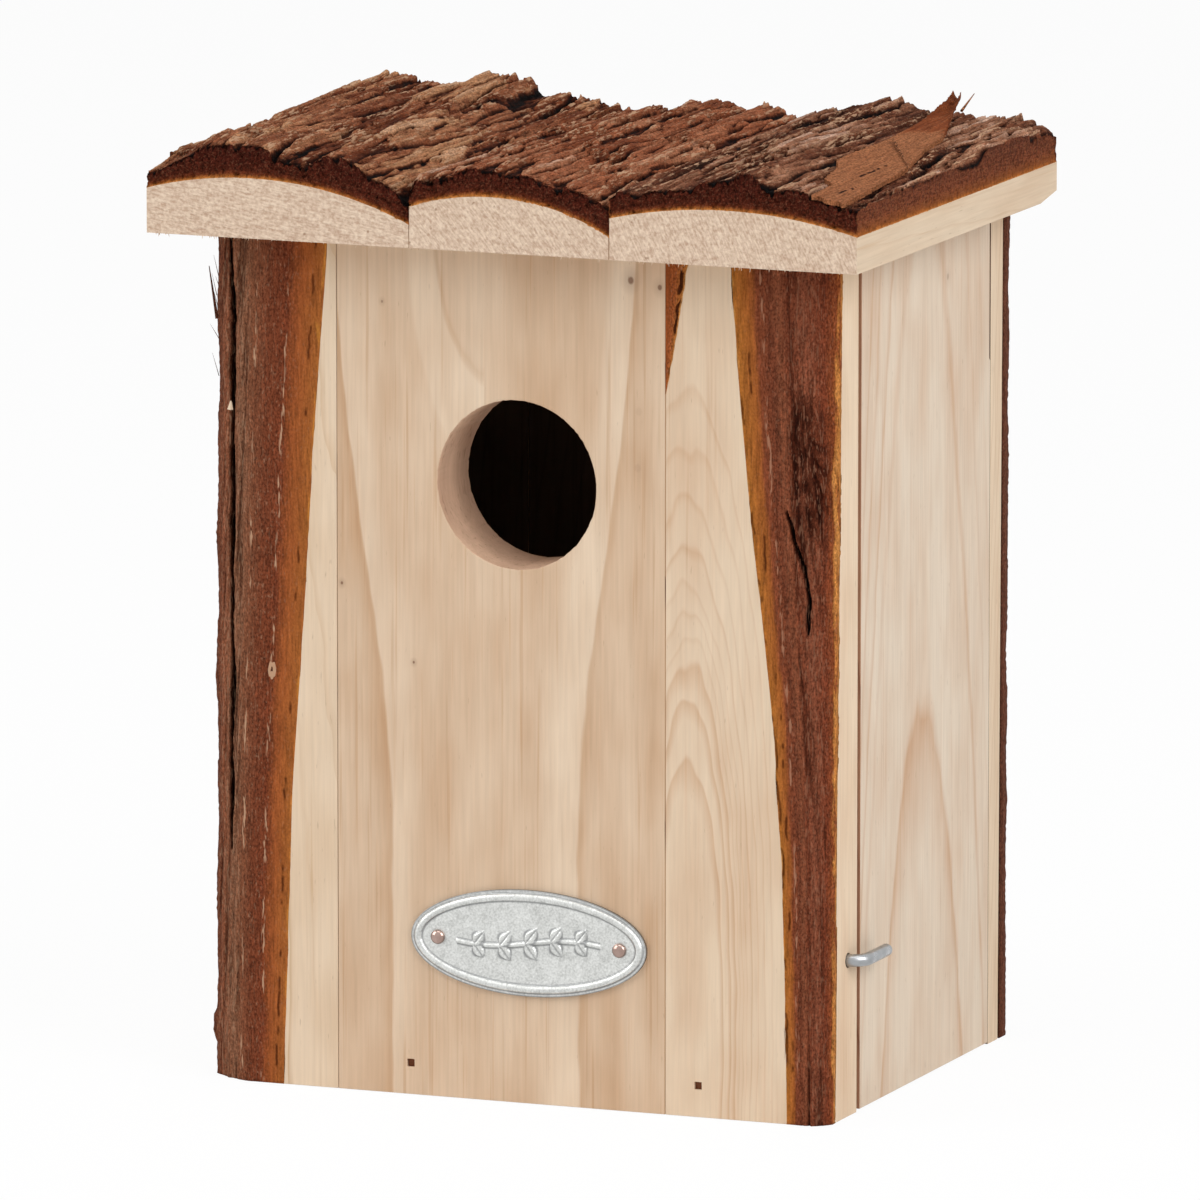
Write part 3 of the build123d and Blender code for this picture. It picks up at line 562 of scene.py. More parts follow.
def bark_strip(edge, reach, fall, rise, flush, face_y, inward, seed, fibrous, ragged_edge,
               pale_rows=(), dark_rows=(), cracks=(), knot=None, eye=None, lump=0):
    """A strip of bark on a board's edge: flush with the sawn face at the wood, rounding back beyond.

    fibrous is the stretch of it that is split into ridges; the rows are lines of torn or dark dashes.
    Both, and the cracks, are placed by their share of the way from the wood to the outer edge.
    The first mark is painted shade in the cracks and in the hollows between ridges and threads,
    and also holds the bark's own dark rows, knot and eye."""
    cell_across = 0.24
    cell_along = 0.6
    toward = 1 if edge < 0 else -1
    widest = max(size for _, size in reach)
    bm = bmesh.new()
    marks = bm.verts.layers.float_color.new("bark")
    bmesh.ops.create_grid(bm, x_segments=round(widest / cell_across),
                          y_segments=round(wall_height / cell_along), size=0.5)
    for v in bm.verts:
        share = v.co.x + 0.5
        height = (v.co.y + 0.5) * wall_height
        width = eased(reach, height)
        waver = 0.3 * noise((0.0, height / 9, seed)) + 0.1 * noise((0.0, height / 1.8, seed))
        width += waver * (1 - share)
        out = share * width
        layer = share + 0.02 * noise((height / 14, seed, 0.0)) + 0.014 * noise((out, height / 4, seed))
        thread = noise((out / 0.4, height / 16, seed))
        ridge = noise((out / 0.9, height / 24, seed + 2))
        outer = smooth_step(0.24, 0.3, share)
        split = smooth_step(fibrous[0], fibrous[0] + 0.06, share)
        split *= smooth_step(fibrous[1], fibrous[1] - 0.06, share)
        lift = 0.03 * thread
        lift += outer * (0.05 * thread + 0.14 * noise((out / 3, height / 20, seed + 4)))
        lift += split * (0.3 * ridge + 0.12 * thread + 0.35 * noise((out / 1.6, height / 6, seed + 6)))
        # Painted shade in the hollows between split ridges and between threads.
        unshaded_unmarked_share = 1 - 0.35 * split * smooth_step(0.15, -0.35, ridge)
        unshaded_unmarked_share -= 0.2 * outer * smooth_step(0.1, -0.4, thread)
        torn = 0.1 * outer + 0.2 * split
        for row in pale_rows:
            shown = smooth_step(-0.25, 0.2, noise((height / 9, seed, 7 * row)))
            stray = 0.4 * noise((height / 5, seed, 5 * row))
            torn = max(torn, shown * smooth_step(0.5, 0.1, abs(out - row * width - 0.3 * waver - stray)))
        for row in dark_rows:
            broken = noise((height / 7, seed, 9 * row)) + 0.5 * noise((height / 1.9, seed, 8 * row))
            broken = smooth_step(0.0, 0.3, broken)
            stray = 0.5 * noise((height / 7, seed, 3 * row)) + 0.2 * noise((height / 1.5, seed, 4 * row))
            unshaded_unmarked_share -= 0.55 * broken * smooth_step(0.45, 0.1, abs(out - row * width - 0.3 * waver - stray))
        for crack_low, crack_high, low_share, high_share, crack_width, crack_depth in cracks:
            if crack_low < height < crack_high:
                run = (height - crack_low) / (crack_high - crack_low)
                middle = width * (low_share + (high_share - low_share) * run)
                middle += 0.7 * noise((height / 14, seed, 0.0)) + 0.3 * noise((height / 3, seed, 1.0))
                half = crack_width * min(1, 5 * run, 5 * (1 - run)) ** 0.5 / 2
                half *= 1 + 1.2 * noise((height / 10, seed, 5.0)) + 0.5 * noise((height / 2.2, seed, 6.0))
                gape = smooth_step(half + 0.3, half * 0.7, abs(out - middle))
                lift -= crack_depth * gape
                unshaded_unmarked_share -= 1.2 * gape
        if knot:
            knot_share, knot_height, knot_wide, knot_tall, knot_lift = knot
            away = math.hypot((out - knot_share * width) / knot_wide, (height - knot_height) / knot_tall)
            burl = smooth_step(1.0, 0.4, away)
            swirl = turbulence((out / 1.7, height / 5, seed + 9), 4, True)
            lift += burl * knot_lift * (swirl - 0.4)
            unshaded_unmarked_share -= burl * (0.35 + 0.2 * smooth_step(0.6, 0.25, swirl))
            torn = max(torn, 0.35 * burl)
        if eye:
            away = math.hypot((out - eye[0] * width) / 0.85, (height - eye[1]) / 1.6)
            torn = max(torn, 4 * smooth_step(1.1, 0.8, away) * smooth_step(0.25, 0.5, away))
            unshaded_unmarked_share -= 0.6 * smooth_step(0.4, 0.2, away)
        ragged = 0.4 * noise((height / 14, seed, 4.0)) + 0.12 * noise((height / 3, seed, 7.0))
        ragged += 0.14 * noise((height / 0.9, seed, 2.0)) + lump * smooth_step(3.5, 1.5, abs(height - 9.5))
        ragged *= ragged_edge * share ** 9
        rounding = max(share - flush, 0) / (1 - flush)
        depth = eased(rise, height) * rounding ** 1.7 - lift
        x = edge + toward * (width - out - ragged)
        v.co = (x, face_y + inward * max(depth, -0.5 * outer), height)
        v[marks] = (min(max(unshaded_unmarked_share, 0), 1), min(max(layer, 0), 0.98), torn, 1)
    for v in grow(bm, bm.faces[:])[0]:
        if v[marks][1] > 0.9:
            v[marks] = (1, 1, 0, 1)
        width = eased(reach, v.co.z)
        share = min(max((width - toward * (v.co.x - edge)) / width, 0), 1)
        behind = eased(fall, v.co.z) * (0.35 * share + 0.65 * share ** 2) + 0.35
        v.co.y = face_y + inward * max(behind, inward * (v.co.y - face_y) + 0.3)
    bmesh.ops.recalc_face_normals(bm, faces=bm.faces)
    for face in bm.faces:
        face.smooth = True
    return bm


left_layers = [(0.0, "#b87634"), (0.02, "#9c5c2c"), (0.18, "#96522a"), (0.3, "#703822"), (0.45, "#6e3a25"),
               (0.6, "#7a4a33"), (0.7, "#80563f"), (0.8, "#7c4d36"), (0.9, "#7e4a33"), (1.0, "#5a3122")]
right_layers = [(0.0, "#c48d4c"), (0.015, "#a3642a"), (0.18, "#9a5829"), (0.25, "#7a4028"), (0.38, "#693724"),
                (0.48, "#7c462f"), (0.58, "#683421"), (0.72, "#75412d"),
                (0.9, "#6a331f"), (0.97, "#7c4022"), (0.985, "#b07238"), (1.0, "#b87c42")]
back_layers = [(0.0, "#8a5a40"), (0.3, "#7c4d38"), (0.7, "#6e4231"), (1.0, "#5c3628")]
left_bark = bark_finish("conifer_bark_wall_left", "Z", left_layers, 0.12, "#bd9678", 0.3)
right_bark = bark_finish("conifer_bark_wall_right", "Z", right_layers, 0.1, "#a4745a", 0.35)
back_bark = bark_finish("conifer_bark_wall_back", "Z", back_layers, 0.3, "#94725e", 0.4)
front_left_rise = [(0, 4.8), (162.8, 7.0)]
front_right_rise = [(0, 2.9), (162.8, 6.0)]
make_piece(bark_strip(front_left_edge, front_left_reach, front_left_fall, front_left_rise, 0.42,
                      front_low.y, 1, 3.1, (0.6, 0.98), 1.4, pale_rows=[0.3, 0.57], dark_rows=[0.09],
                      cracks=[(96, 152, 0.78, 0.82, 0.9, 2.6), (44, 104, 0.74, 0.79, 0.7, 1.8),
                              (140, 166, 0.82, 0.87, 0.7, 1.6)], eye=(0.3, 79.5), lump=0.5),
           "front_bark_left", "house", [left_bark], ["front_left_bark"])
make_piece(bark_strip(front_right_edge, front_right_reach, front_right_fall, front_right_rise, 0.6,
                      front_low.y, 1, 8.4, (0.5, 0.9), 0.25, pale_rows=[0.3], dark_rows=[0.015, 0.15],
                      cracks=[(104, 116, 0.66, 0.46, 0.3, 1.2), (93, 106, 0.67, 0.66, 0.3, 0.8)],
                      knot=(0.74, 124, 5.0, 20, 1.2)),
           "front_bark_right", "house", [right_bark], ["front_right_bark"])


def splinter(bm, start, end, thick):
    """A thin splinter between two points, tapering to its end."""
    reach = Vector(end) - Vector(start)
    turn = reach.to_track_quat("Z", "Y").to_matrix().to_4x4()
    place = Matrix.Translation(Vector(start) + reach / 2)
    bmesh.ops.create_cone(bm, cap_ends=True, segments=5, radius1=thick, radius2=thick / 4,
                          depth=reach.length, matrix=place @ turn)


hairs = bmesh.new()
hair_marks = hairs.verts.layers.float_color.new("bark")
random.seed(5)
for root_height in (134, 141, 145, 147, 149.5, 151, 153):
    root = Vector((front_left_edge + 0.7, front_low.y + random.uniform(4.5, 6.0), root_height))
    lean = Vector((-random.uniform(0.6, 1.7), random.uniform(-0.6, 0.3), random.uniform(1.5, 4.5)))
    splinter(hairs, root, root + lean, 0.08)
strip_foot = Vector((front_left_edge + 0.5, front_low.y + 5, 145))
splinter(hairs, strip_foot, strip_foot + Vector((-1.4, -0.4, 10)), 0.35)
for v in hairs.verts:
    v[hair_marks] = (0.6, 0.7, 0.1, 1)
make_piece(hairs, "front_bark_hairs", "house", [back_bark], [])
chip = bmesh.new()
chip_foot = Vector((front_left_edge + 4.5, front_low.y + 1.8, 128.4))
splinter(chip, chip_foot, chip_foot + Vector((0.2, -0.1, 1.6)), 0.6)
make_piece(chip, "front_bark_wood_chip", "house", [front_left_wood], [])

back_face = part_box("back_centre_board")[1].y * 1000
back_left_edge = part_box("back_left_board")[0].x * 1000
back_right_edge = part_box("back_right_board")[1].x * 1000
make_piece(bark_strip(back_left_edge, [(0, 10), (80, 12.2), (162.8, 13)], [(0, 6.0), (162.8, 7.0)],
                      [(0, 2.6), (162.8, 3.4)], 0.42, back_face, -1, 12.7, (0.5, 0.95), 1.0),
           "back_bark_left", "house", [left_bark], ["back_left_bark"])
make_piece(bark_strip(back_right_edge, [(0, 9.2), (80, 8.6), (162.8, 7.3)], [(0, 5.6), (162.8, 4.8)],
                      [(0, 2.4), (162.8, 2.0)], 0.42, back_face, -1, 17.9, (0.3, 1.0), 1.3),
           "back_bark_right", "house", [back_bark], ["back_right_bark"])


# Bark sliver: a wedge of orange inner bark left beside the front's right seam, under the roof.
# Part of the sawn board's own face, so it lies flush and tapers to nothing.
sliver_width = 4.6
sliver_length = 26.0
sliver_depth = 2.0
sliver_proud = 0.06
inner_layers = [(0.0, "#8a4722"), (0.5, "#94502a"), (0.9, "#a5642f"), (1.0, "#c08a4e")]
inner_bark = bark_finish("inner_bark_sliver", "Z", inner_layers, 0.1, "#b9937a")
sliver = bmesh.new()
sliver_marks = sliver.verts.layers.float_color.new("bark")
bmesh.ops.create_grid(sliver, x_segments=16, y_segments=60, size=0.5)
for v in sliver.verts:
    share = v.co.x + 0.5
    drop = (0.5 - v.co.y) * sliver_length
    width = sliver_width * (1 - drop / sliver_length) ** 0.9 + 0.25 * noise((drop / 2.2, 1.0, 0.0))
    dash = smooth_step(0.0, 0.25, noise((share * 3, drop / 1.8, 5.0)))
    dark = 0.8 * dash * smooth_step(0.55, 0.75, share) * smooth_step(0.98, 0.85, share)
    v[sliver_marks] = (1 - dark, share, 0, 1)
    v.co = (front_high.x + share * max(width, 0.05), front_low.y - sliver_proud, wall_height - drop)
grow(sliver, sliver.faces[:], (0, sliver_depth, 0))
bmesh.ops.recalc_face_normals(sliver, faces=sliver.faces)
make_piece(sliver, "front_inner_bark_wedge", "house", [inner_bark], ["front_bark_sliver"])


# Side door: one softwood board that swings out from the bottom on two nails near its top.
# Planed, unfinished, paler than the front; its rings pinch in above mid-height, and its front edge is a
# darker brown, painted shade for the narrow gap to the front panel.
# Its edges reach out to narrow the gaps to the front and back, by less near the top at the back.
door_wood = softwood(
    "planed_softwood_door", "YXZ", (5.5, 29.3, 103), (0.095, -0.0003, -200), 1.6,
    "#d9c8b4", "#b98a62", 0.6, 0.14,
    arcs=[(-50, 0.1), (-46.6, 0.1), (-46.2, 0.6), (-45.8, 0.1), (-44.3, 0.15), (-43.8, 0.75), (-43.4, 0.12),
          (-41.8, 0.15), (-41.2, 0.8), (-40.8, 0.1), (-39.3, 0.1), (-38.7, 0.5), (-38.3, 0.03),
          (-30.2, 0.0), (-29.7, 0.85), (-28.6, 0.4), (-26, 0.05), (26, 0.05), (28.6, 0.4), (29.7, 0.85),
          (30.2, 0.0), (38.2, 0.05), (39.0, 0.8), (39.4, 0.1), (43.4, 0.12), (43.9, 0.45), (44.3, 0.1),
          (47.0, 0.15), (47.4, 0.4), (48, 0.1)],
    knots=[(18.0, 152.0, 0.7, 0.4)])
# Painted shade: a darker brown copy of the door's wood for its front edge, which sits in the narrow gap to
# the front panel.
door_edge_shaded_wood = softwood(
    "softwood_edge_painted_gap_shade", "YXZ", (5.5, 29.3, 103), (0.095, -0.0003, -200), 2.6,
    "#c49474", "#8c5e46", 0.5, 0.6)
door_front, door_back = [corner.y * 1000 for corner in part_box("side_door")]
door_front_lip = 0.8
door_back_lip = 0.76
door_back_top_lip = 0.3
door_back_step = (133.2, 132.6)
door = eased_copy("side_door", planed_arris)
for face in door.faces:
    face.material_index = 1 if face.normal.y < -0.9 else 0
for height in door_back_step:
    saw(door, (0, 0, height), (0, 0, 1))
for v in door.verts:
    if v.co.y < door_front + 0.5:
        v.co.y -= door_front_lip
    if v.co.y > door_back - 0.5:
        v.co.y += door_back_lip if v.co.z < sum(door_back_step) / 2 else door_back_top_lip
make_piece(door, "side_door_board", "side_door", [door_wood, door_edge_shaded_wood], ["side_door"])


# Pivot nails: two round nails, tight in the front and back panels and loose in the door.
# Bright drawn steel, their heads sunk under the bark.
nail_steel = plated_steel("bright_steel_nail", "#c4c6c8", "#9a9c9e", 0.35)
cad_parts["pivot_nails"].data.materials.clear()
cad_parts["pivot_nails"].data.materials.append(nail_steel)


# Latch hook: a bent wire whose shank turns in the front panel's edge, so that its arm holds the door shut.
# Zinc-plated steel wire, bent cold over a small radius, with a cropped and rounded end.
wire_radius = 1.2
hook_bend = 3.0
hook_axis_y, hook_axis_z = hook_hole
hook_shank = 22.0
hook_rounding = 0.5
hook_shank_end = front_right_edge - hook_shank
hook_arm_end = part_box("latch_hook")[1].y * 1000 - hook_rounding
hook = bmesh.new()
hook_start = Matrix.Translation((hook_shank_end, hook_axis_y, hook_axis_z))
bmesh.ops.create_circle(hook, cap_ends=True, segments=24, radius=wire_radius,
                        matrix=hook_start @ Matrix.Rotation(math.radians(90), 4, "Y"))


def draw_on(bm, end, vec):
    """Draw the open end of a wire on in a straight line, and return its new vertices and faces."""
    grown = grow(bm, end, vec)
    bmesh.ops.delete(bm, geom=end, context="FACES_ONLY")
    return grown


tip = hook.faces[:]
bmesh.ops.duplicate(hook, geom=hook.verts[:] + hook.edges[:] + hook.faces[:])
_, tip = draw_on(hook, tip, (front_right_edge - hook_shank_end, 0, 0))
bend_steps = 14
for step in range(bend_steps):
    ring, tip = draw_on(hook, tip, (0, 0, 0))
    bmesh.ops.rotate(hook, cent=(front_right_edge, hook_axis_y + hook_bend, hook_axis_z), verts=ring,
                     matrix=Matrix.Rotation(math.radians(90 / bend_steps), 3, "Z"))
_, tip = draw_on(hook, tip, (0, hook_arm_end - (hook_axis_y + hook_bend), 0))
for push, shrink in ((0.25, 0.94), (0.2, 0.82), (0.05, 0.6)):
    ring, tip = draw_on(hook, tip, (0, push, 0))
    centre = sum((v.co for v in ring), Vector()) / len(ring)
    bmesh.ops.scale(hook, vec=(shrink,) * 3, space=Matrix.Translation(-centre), verts=ring)
bmesh.ops.remove_doubles(hook, verts=hook.verts, dist=0.001)
bmesh.ops.recalc_face_normals(hook, faces=hook.faces)
for face in hook.faces:
    face.smooth = True
wire_zinc = plated_steel("zinc_plated_steel_wire", "#bcbec0", "#86888a", 0.3)
make_piece(hook, "latch_wire_hook", "latch_hook", [wire_zinc], ["latch_hook"])


# Roof slabs: three slabs side by side, each the round outside of a log that lay from front to back.
# Sawn softwood; the ends show coarse end grain with faint rings, and a fringe of torn fibres underneath.
# The right slab has lost its lower corner at the back.
roof_front, roof_back = [corner.y * 1000 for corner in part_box("roof_left_slab")]
roof_left, roof_left_seam = [corner.x * 1000 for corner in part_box("roof_left_slab")]
roof_right_seam, roof_right = [corner.x * 1000 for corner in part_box("roof_right_slab")]
corner_break = 9
slabs = {
    "left": (roof_left, roof_left_seam, (8.5, 11.2, 4.4)),
    "middle": (roof_left_seam, roof_right_seam, (7.8, 10.4, 4.2)),
    "right": (roof_right_seam, roof_right, (7.8, 10.5, 6.9)),
}


def slab_top(slab, x):
    """Height of a slab's wood over the ground, on the arch through its edges and middle."""
    left, right, (left_height, middle_height, right_height) = slabs[slab]
    share = (x - left) / (right - left)
    arch = left_height * (1 - share) * (1 - 2 * share)
    arch += middle_height * 4 * share * (1 - share)
    arch += right_height * share * (2 * share - 1)
    return wall_height + arch


def end_grain(name, heart, ring_gap, lean, pale, pore):
    """Cross-cut softwood: torn end grain, speckled and stroked by the saw, with faint rings and small dark
    spots of painted shade for pits.
    """
    finish, tree, shader, in_mm = new_finish(name)
    middle = (heart[0], 0.0, heart[1])
    placed = add(tree, "ShaderNodeVectorMath", {0: in_mm, 1: middle}, operation="SUBTRACT").outputs[0]
    across = (1.0, 0.0, 1.0)
    section = add(tree, "ShaderNodeVectorMath", {0: placed, 1: across}, operation="MULTIPLY").outputs[0]
    reach = add(tree, "ShaderNodeVectorMath", {0: section}, operation="LENGTH").outputs["Value"]
    wander = add(tree, "ShaderNodeTexNoise", {"Vector": section, "Scale": 0.12, "Detail": 2.0}).outputs[0]
    uneven = maths(tree, "MULTIPLY_ADD", wander, 2.0, reach)
    rings = maths(tree, "DIVIDE", uneven, ring_gap)
    year = maths(tree, "FRACT", rings)
    growth = add(tree, "ShaderNodeValToRGB", {0: year}, stops=[
        (0.0, "#bbbbbb"), (0.25, "#000000"), (0.7, "#303030"), (1.0, "#ffffff")]).outputs[0]
    turned = add(tree, "ShaderNodeMapping", {
        "Vector": in_mm, "Rotation": (0.0, math.radians(lean), 0.0)}).outputs[0]
    stroke = fibres(tree, turned, 0.4, 1.8, 2.0)
    grain = add(tree, "ShaderNodeTexNoise", {"Vector": in_mm, "Scale": 1 / 0.55, "Detail": 3.0}).outputs[0]
    hole = add(tree, "ShaderNodeTexNoise", {"Vector": in_mm, "Scale": 1 / 1.6, "Detail": 1.0}).outputs[0]
    torn = mixed(tree, 0.5, stroke, grain)
    mottle = ranged(tree, torn, 0.38, 0.62, 0.62, 0.0)
    shade = maths(tree, "MULTIPLY_ADD", growth, 0.14, mottle)
    colour = mixed(tree, shade, pale, pore)
    # Painted shade: small dark spots stand in for the shade in pits of the torn grain.
    pit_shade = ranged(tree, hole, 0.74, 0.78, 0.0, 0.6)
    colour = mixed(tree, pit_shade, colour, "#8a6244")
    relief = add(tree, "ShaderNodeBump", {"Strength": 0.7, "Distance": 0.0004, "Height": torn}).outputs[0]
    fill(tree, shader, {
        "Base Color": colour, "Roughness": 0.85, "Specular IOR Level": 0.25, "Normal": relief})
    return finish


for slab, heart, ring_gap, lean in (("left", (-50, 118), 3.2, 80), ("middle", (-4, 130), 2.4, 40),
                                    ("right", (44, 112), 2.8, 25)):
    long_grain = softwood(f"sawn_softwood_roof_{slab}", "XZY", (heart[0], heart[1] + 20, 0), (0.04, 0, -200),
                          ring_gap, "#d8c4ab", "#b8926e", 0.14, 0.22)
    cross_cut = end_grain(f"softwood_end_grain_{slab}", heart, ring_gap, lean, "#e6d0b9", "#a9836a")
    slab_mesh = eased_copy(f"roof_{slab}_slab", planed_arris)
    if slab == "right":
        break_start = (roof_right, roof_back - corner_break, wall_height)
        cut = saw(slab_mesh, break_start, (0.08, 0.16, -1), clear_outer=True)["geom_cut"]
        bmesh.ops.contextual_create(slab_mesh, geom=[g for g in cut if isinstance(g, bmesh.types.BMEdge)])
        bmesh.ops.recalc_face_normals(slab_mesh, faces=slab_mesh.faces)
    for face in slab_mesh.faces:
        middle = face.calc_center_median()
        face.material_index = 1 if abs(face.normal.y) > 0.6 else 0
        if min(abs(middle.x - roof_left_seam), abs(middle.x - roof_right_seam)) < planed_arris + 0.01:
            face.material_index = 2
    make_piece(slab_mesh, f"roof_slab_{slab}", "house", [long_grain, cross_cut, glue_line],
               [f"roof_{slab}_slab"])

fringe_count = 150
fringe = bmesh.new()
random.seed(11)
for i in range(fringe_count):
    root = Vector((random.uniform(roof_left + 0.3, roof_right - 0.3), roof_front + random.uniform(0.1, 0.4),
                   wall_height + 0.15))
    hang = random.choice((0.3, 0.35, 0.4, 0.8)) * random.uniform(0.6, 1.2)
    splinter(fringe, root, root + Vector((random.uniform(-0.3, 0.3), random.uniform(-0.3, 0.1), -hang)), 0.1)
fringe_wood = end_grain("torn_softwood_fringe", (0, 100), 3.0, 0, "#e4ceb6", "#b48e6c")
make_piece(fringe, "roof_slab_fringe", "house", [fringe_wood], [])


# Roof bark: thick conifer bark left whole on the roof slabs, and sawn square at the edges.
# Long plates run from front to back, split into strands that lie at uneven heights with dark clefts between,
# darkened further by painted shade.
usual_bark = 6.4
plate_edges = {
    "left": ((0.00, 0.52, 0.00, 0.98), (0.17, 0.72, 0.10, 1.20), (0.20, 0.96, 0.16, 1.20),
             (0.38, 0.93, 0.21, 1.00), (0.46, 0.90, 0.33, 0.74), (0.50, 0.69, 0.43, 0.97),
             (0.60, 0.61, 0.52, 1.06), (0.69, 1.12, 0.65, 1.30), (0.76, 1.17, 0.70, 0.90),
             (0.88, 0.88, 0.85, 1.28), (1.00, 0.86, 1.00, 1.50)),
    "middle": ((0.00, 0.64, 0.00, 1.00), (0.15, 0.73, 0.10, 0.60), (0.26, 0.87, 0.28, 0.53),
               (0.50, 0.86, 0.45, 0.85), (0.60, 0.83, 0.58, 0.81), (0.68, 0.73, 0.66, 0.75),
               (0.78, 0.88, 0.75, 1.04), (0.90, 0.97, 0.88, 1.06), (1.00, 0.81, 1.00, 1.42)),
    "right": ((0.00, 0.78, 0.00, 0.93), (0.14, 0.68, 0.10, 1.05), (0.30, 0.71, 0.20, 1.05),
              (0.42, 0.98, 0.35, 1.17), (0.50, 1.16, 0.44, 0.88), (0.58, 1.18, 0.50, 0.84),
              (0.65, 0.86, 0.62, 0.95), (0.78, 0.88, 0.74, 0.75), (0.90, 0.86, 0.85, 1.08),
              (1.00, 0.92, 1.00, 0.85)),
}
flake_left_edge = [(-52.6, 62.2), (-41.0, 62.0), (-38.5, 59.2), (-27.5, 57.8), (-22.4, 55.5), (3.0, 56.4),
                   (24.0, 55.5), (40.0, 54.0), (48.0, 52.2)]
flake_right_edge = [(-52.6, 68.6), (-36.0, 67.9), (-17.4, 67.1), (2.6, 63.7), (14.2, 62.8),
                    (31.0, 58.3), (48.0, 53.7)]
flake_thickness = 0.9


def flake_top(x, y):
    """Height of the loose flake's flat face, which leans to the right and rises to the back."""
    return wall_height + 14.6 - 0.19 * (x - 62.45) + 0.032 * (y + 52.5)


def at(points, place):
    """A measured line of (place, size) pairs, read straight between its points."""
    for (p0, s0), (p1, s1) in zip(points, points[1:]):
        if place <= p1:
            return s0 + (s1 - s0) * (place - p0) / (p1 - p0)
    return points[-1][1]


def plate_thickness(slab, x, y):
    """Thickness of the bark by its long plates alone."""
    left, right, _ = slabs[slab]
    back = (y - roof_front) / (roof_back - roof_front)
    across = [(front_at + (back_at - front_at) * back, front_size + (back_size - front_size) * back)
              for front_at, front_size, back_at, back_size in plate_edges[slab]]
    return usual_bark * at(across, (x - left) / (right - left))


def strands(x, y, seed, pitch, run, step, cleft):
    """Bark split into strands of a width and length: the height at a place, and the tone of its strand."""
    bent = (x + 0.7 * pitch * noise((x / (2.2 * pitch), y / run, seed))) / pitch
    column = math.floor(bent)
    side = bent - column
    own = cell_vector((column + 0.5, seed, 0.5))
    torn = 0.2 * noise((x / 0.4, seed, y / 50)) + 0.2 * noise((x / 1.7, seed, y / 30))
    piece = math.floor(y / (run * (0.6 + 0.8 * own.x)) + 9 * own.y + torn)
    lie = cell_vector((column + 0.5, piece + 0.5, seed + 0.5))
    height = step * (2 * lie.x - 1 + 1.2 * (lie.y - 0.5) * (2 * side - 1))
    from_edge = min(side, 1 - side) * pitch
    gape = smooth_step(-0.3, 0.3, noise((round(bent) * 7.7, y / (0.45 * run), seed)))
    return height - cleft * gape * smooth_step(0.14 * pitch + 0.12, 0.1, from_edge), lie.z


def flaked_off(x, y, seed):
    """Share of the outer bark that has come away at a place, in long ragged patches."""
    frayed = x / 2.3 + 0.35 * noise((x / 0.9, y / 7, seed)) + 0.5 * noise((x / 6, y / 16, seed))
    return smooth_step(0.2, 0.32, noise((frayed, y / 30, seed + 9.5)))


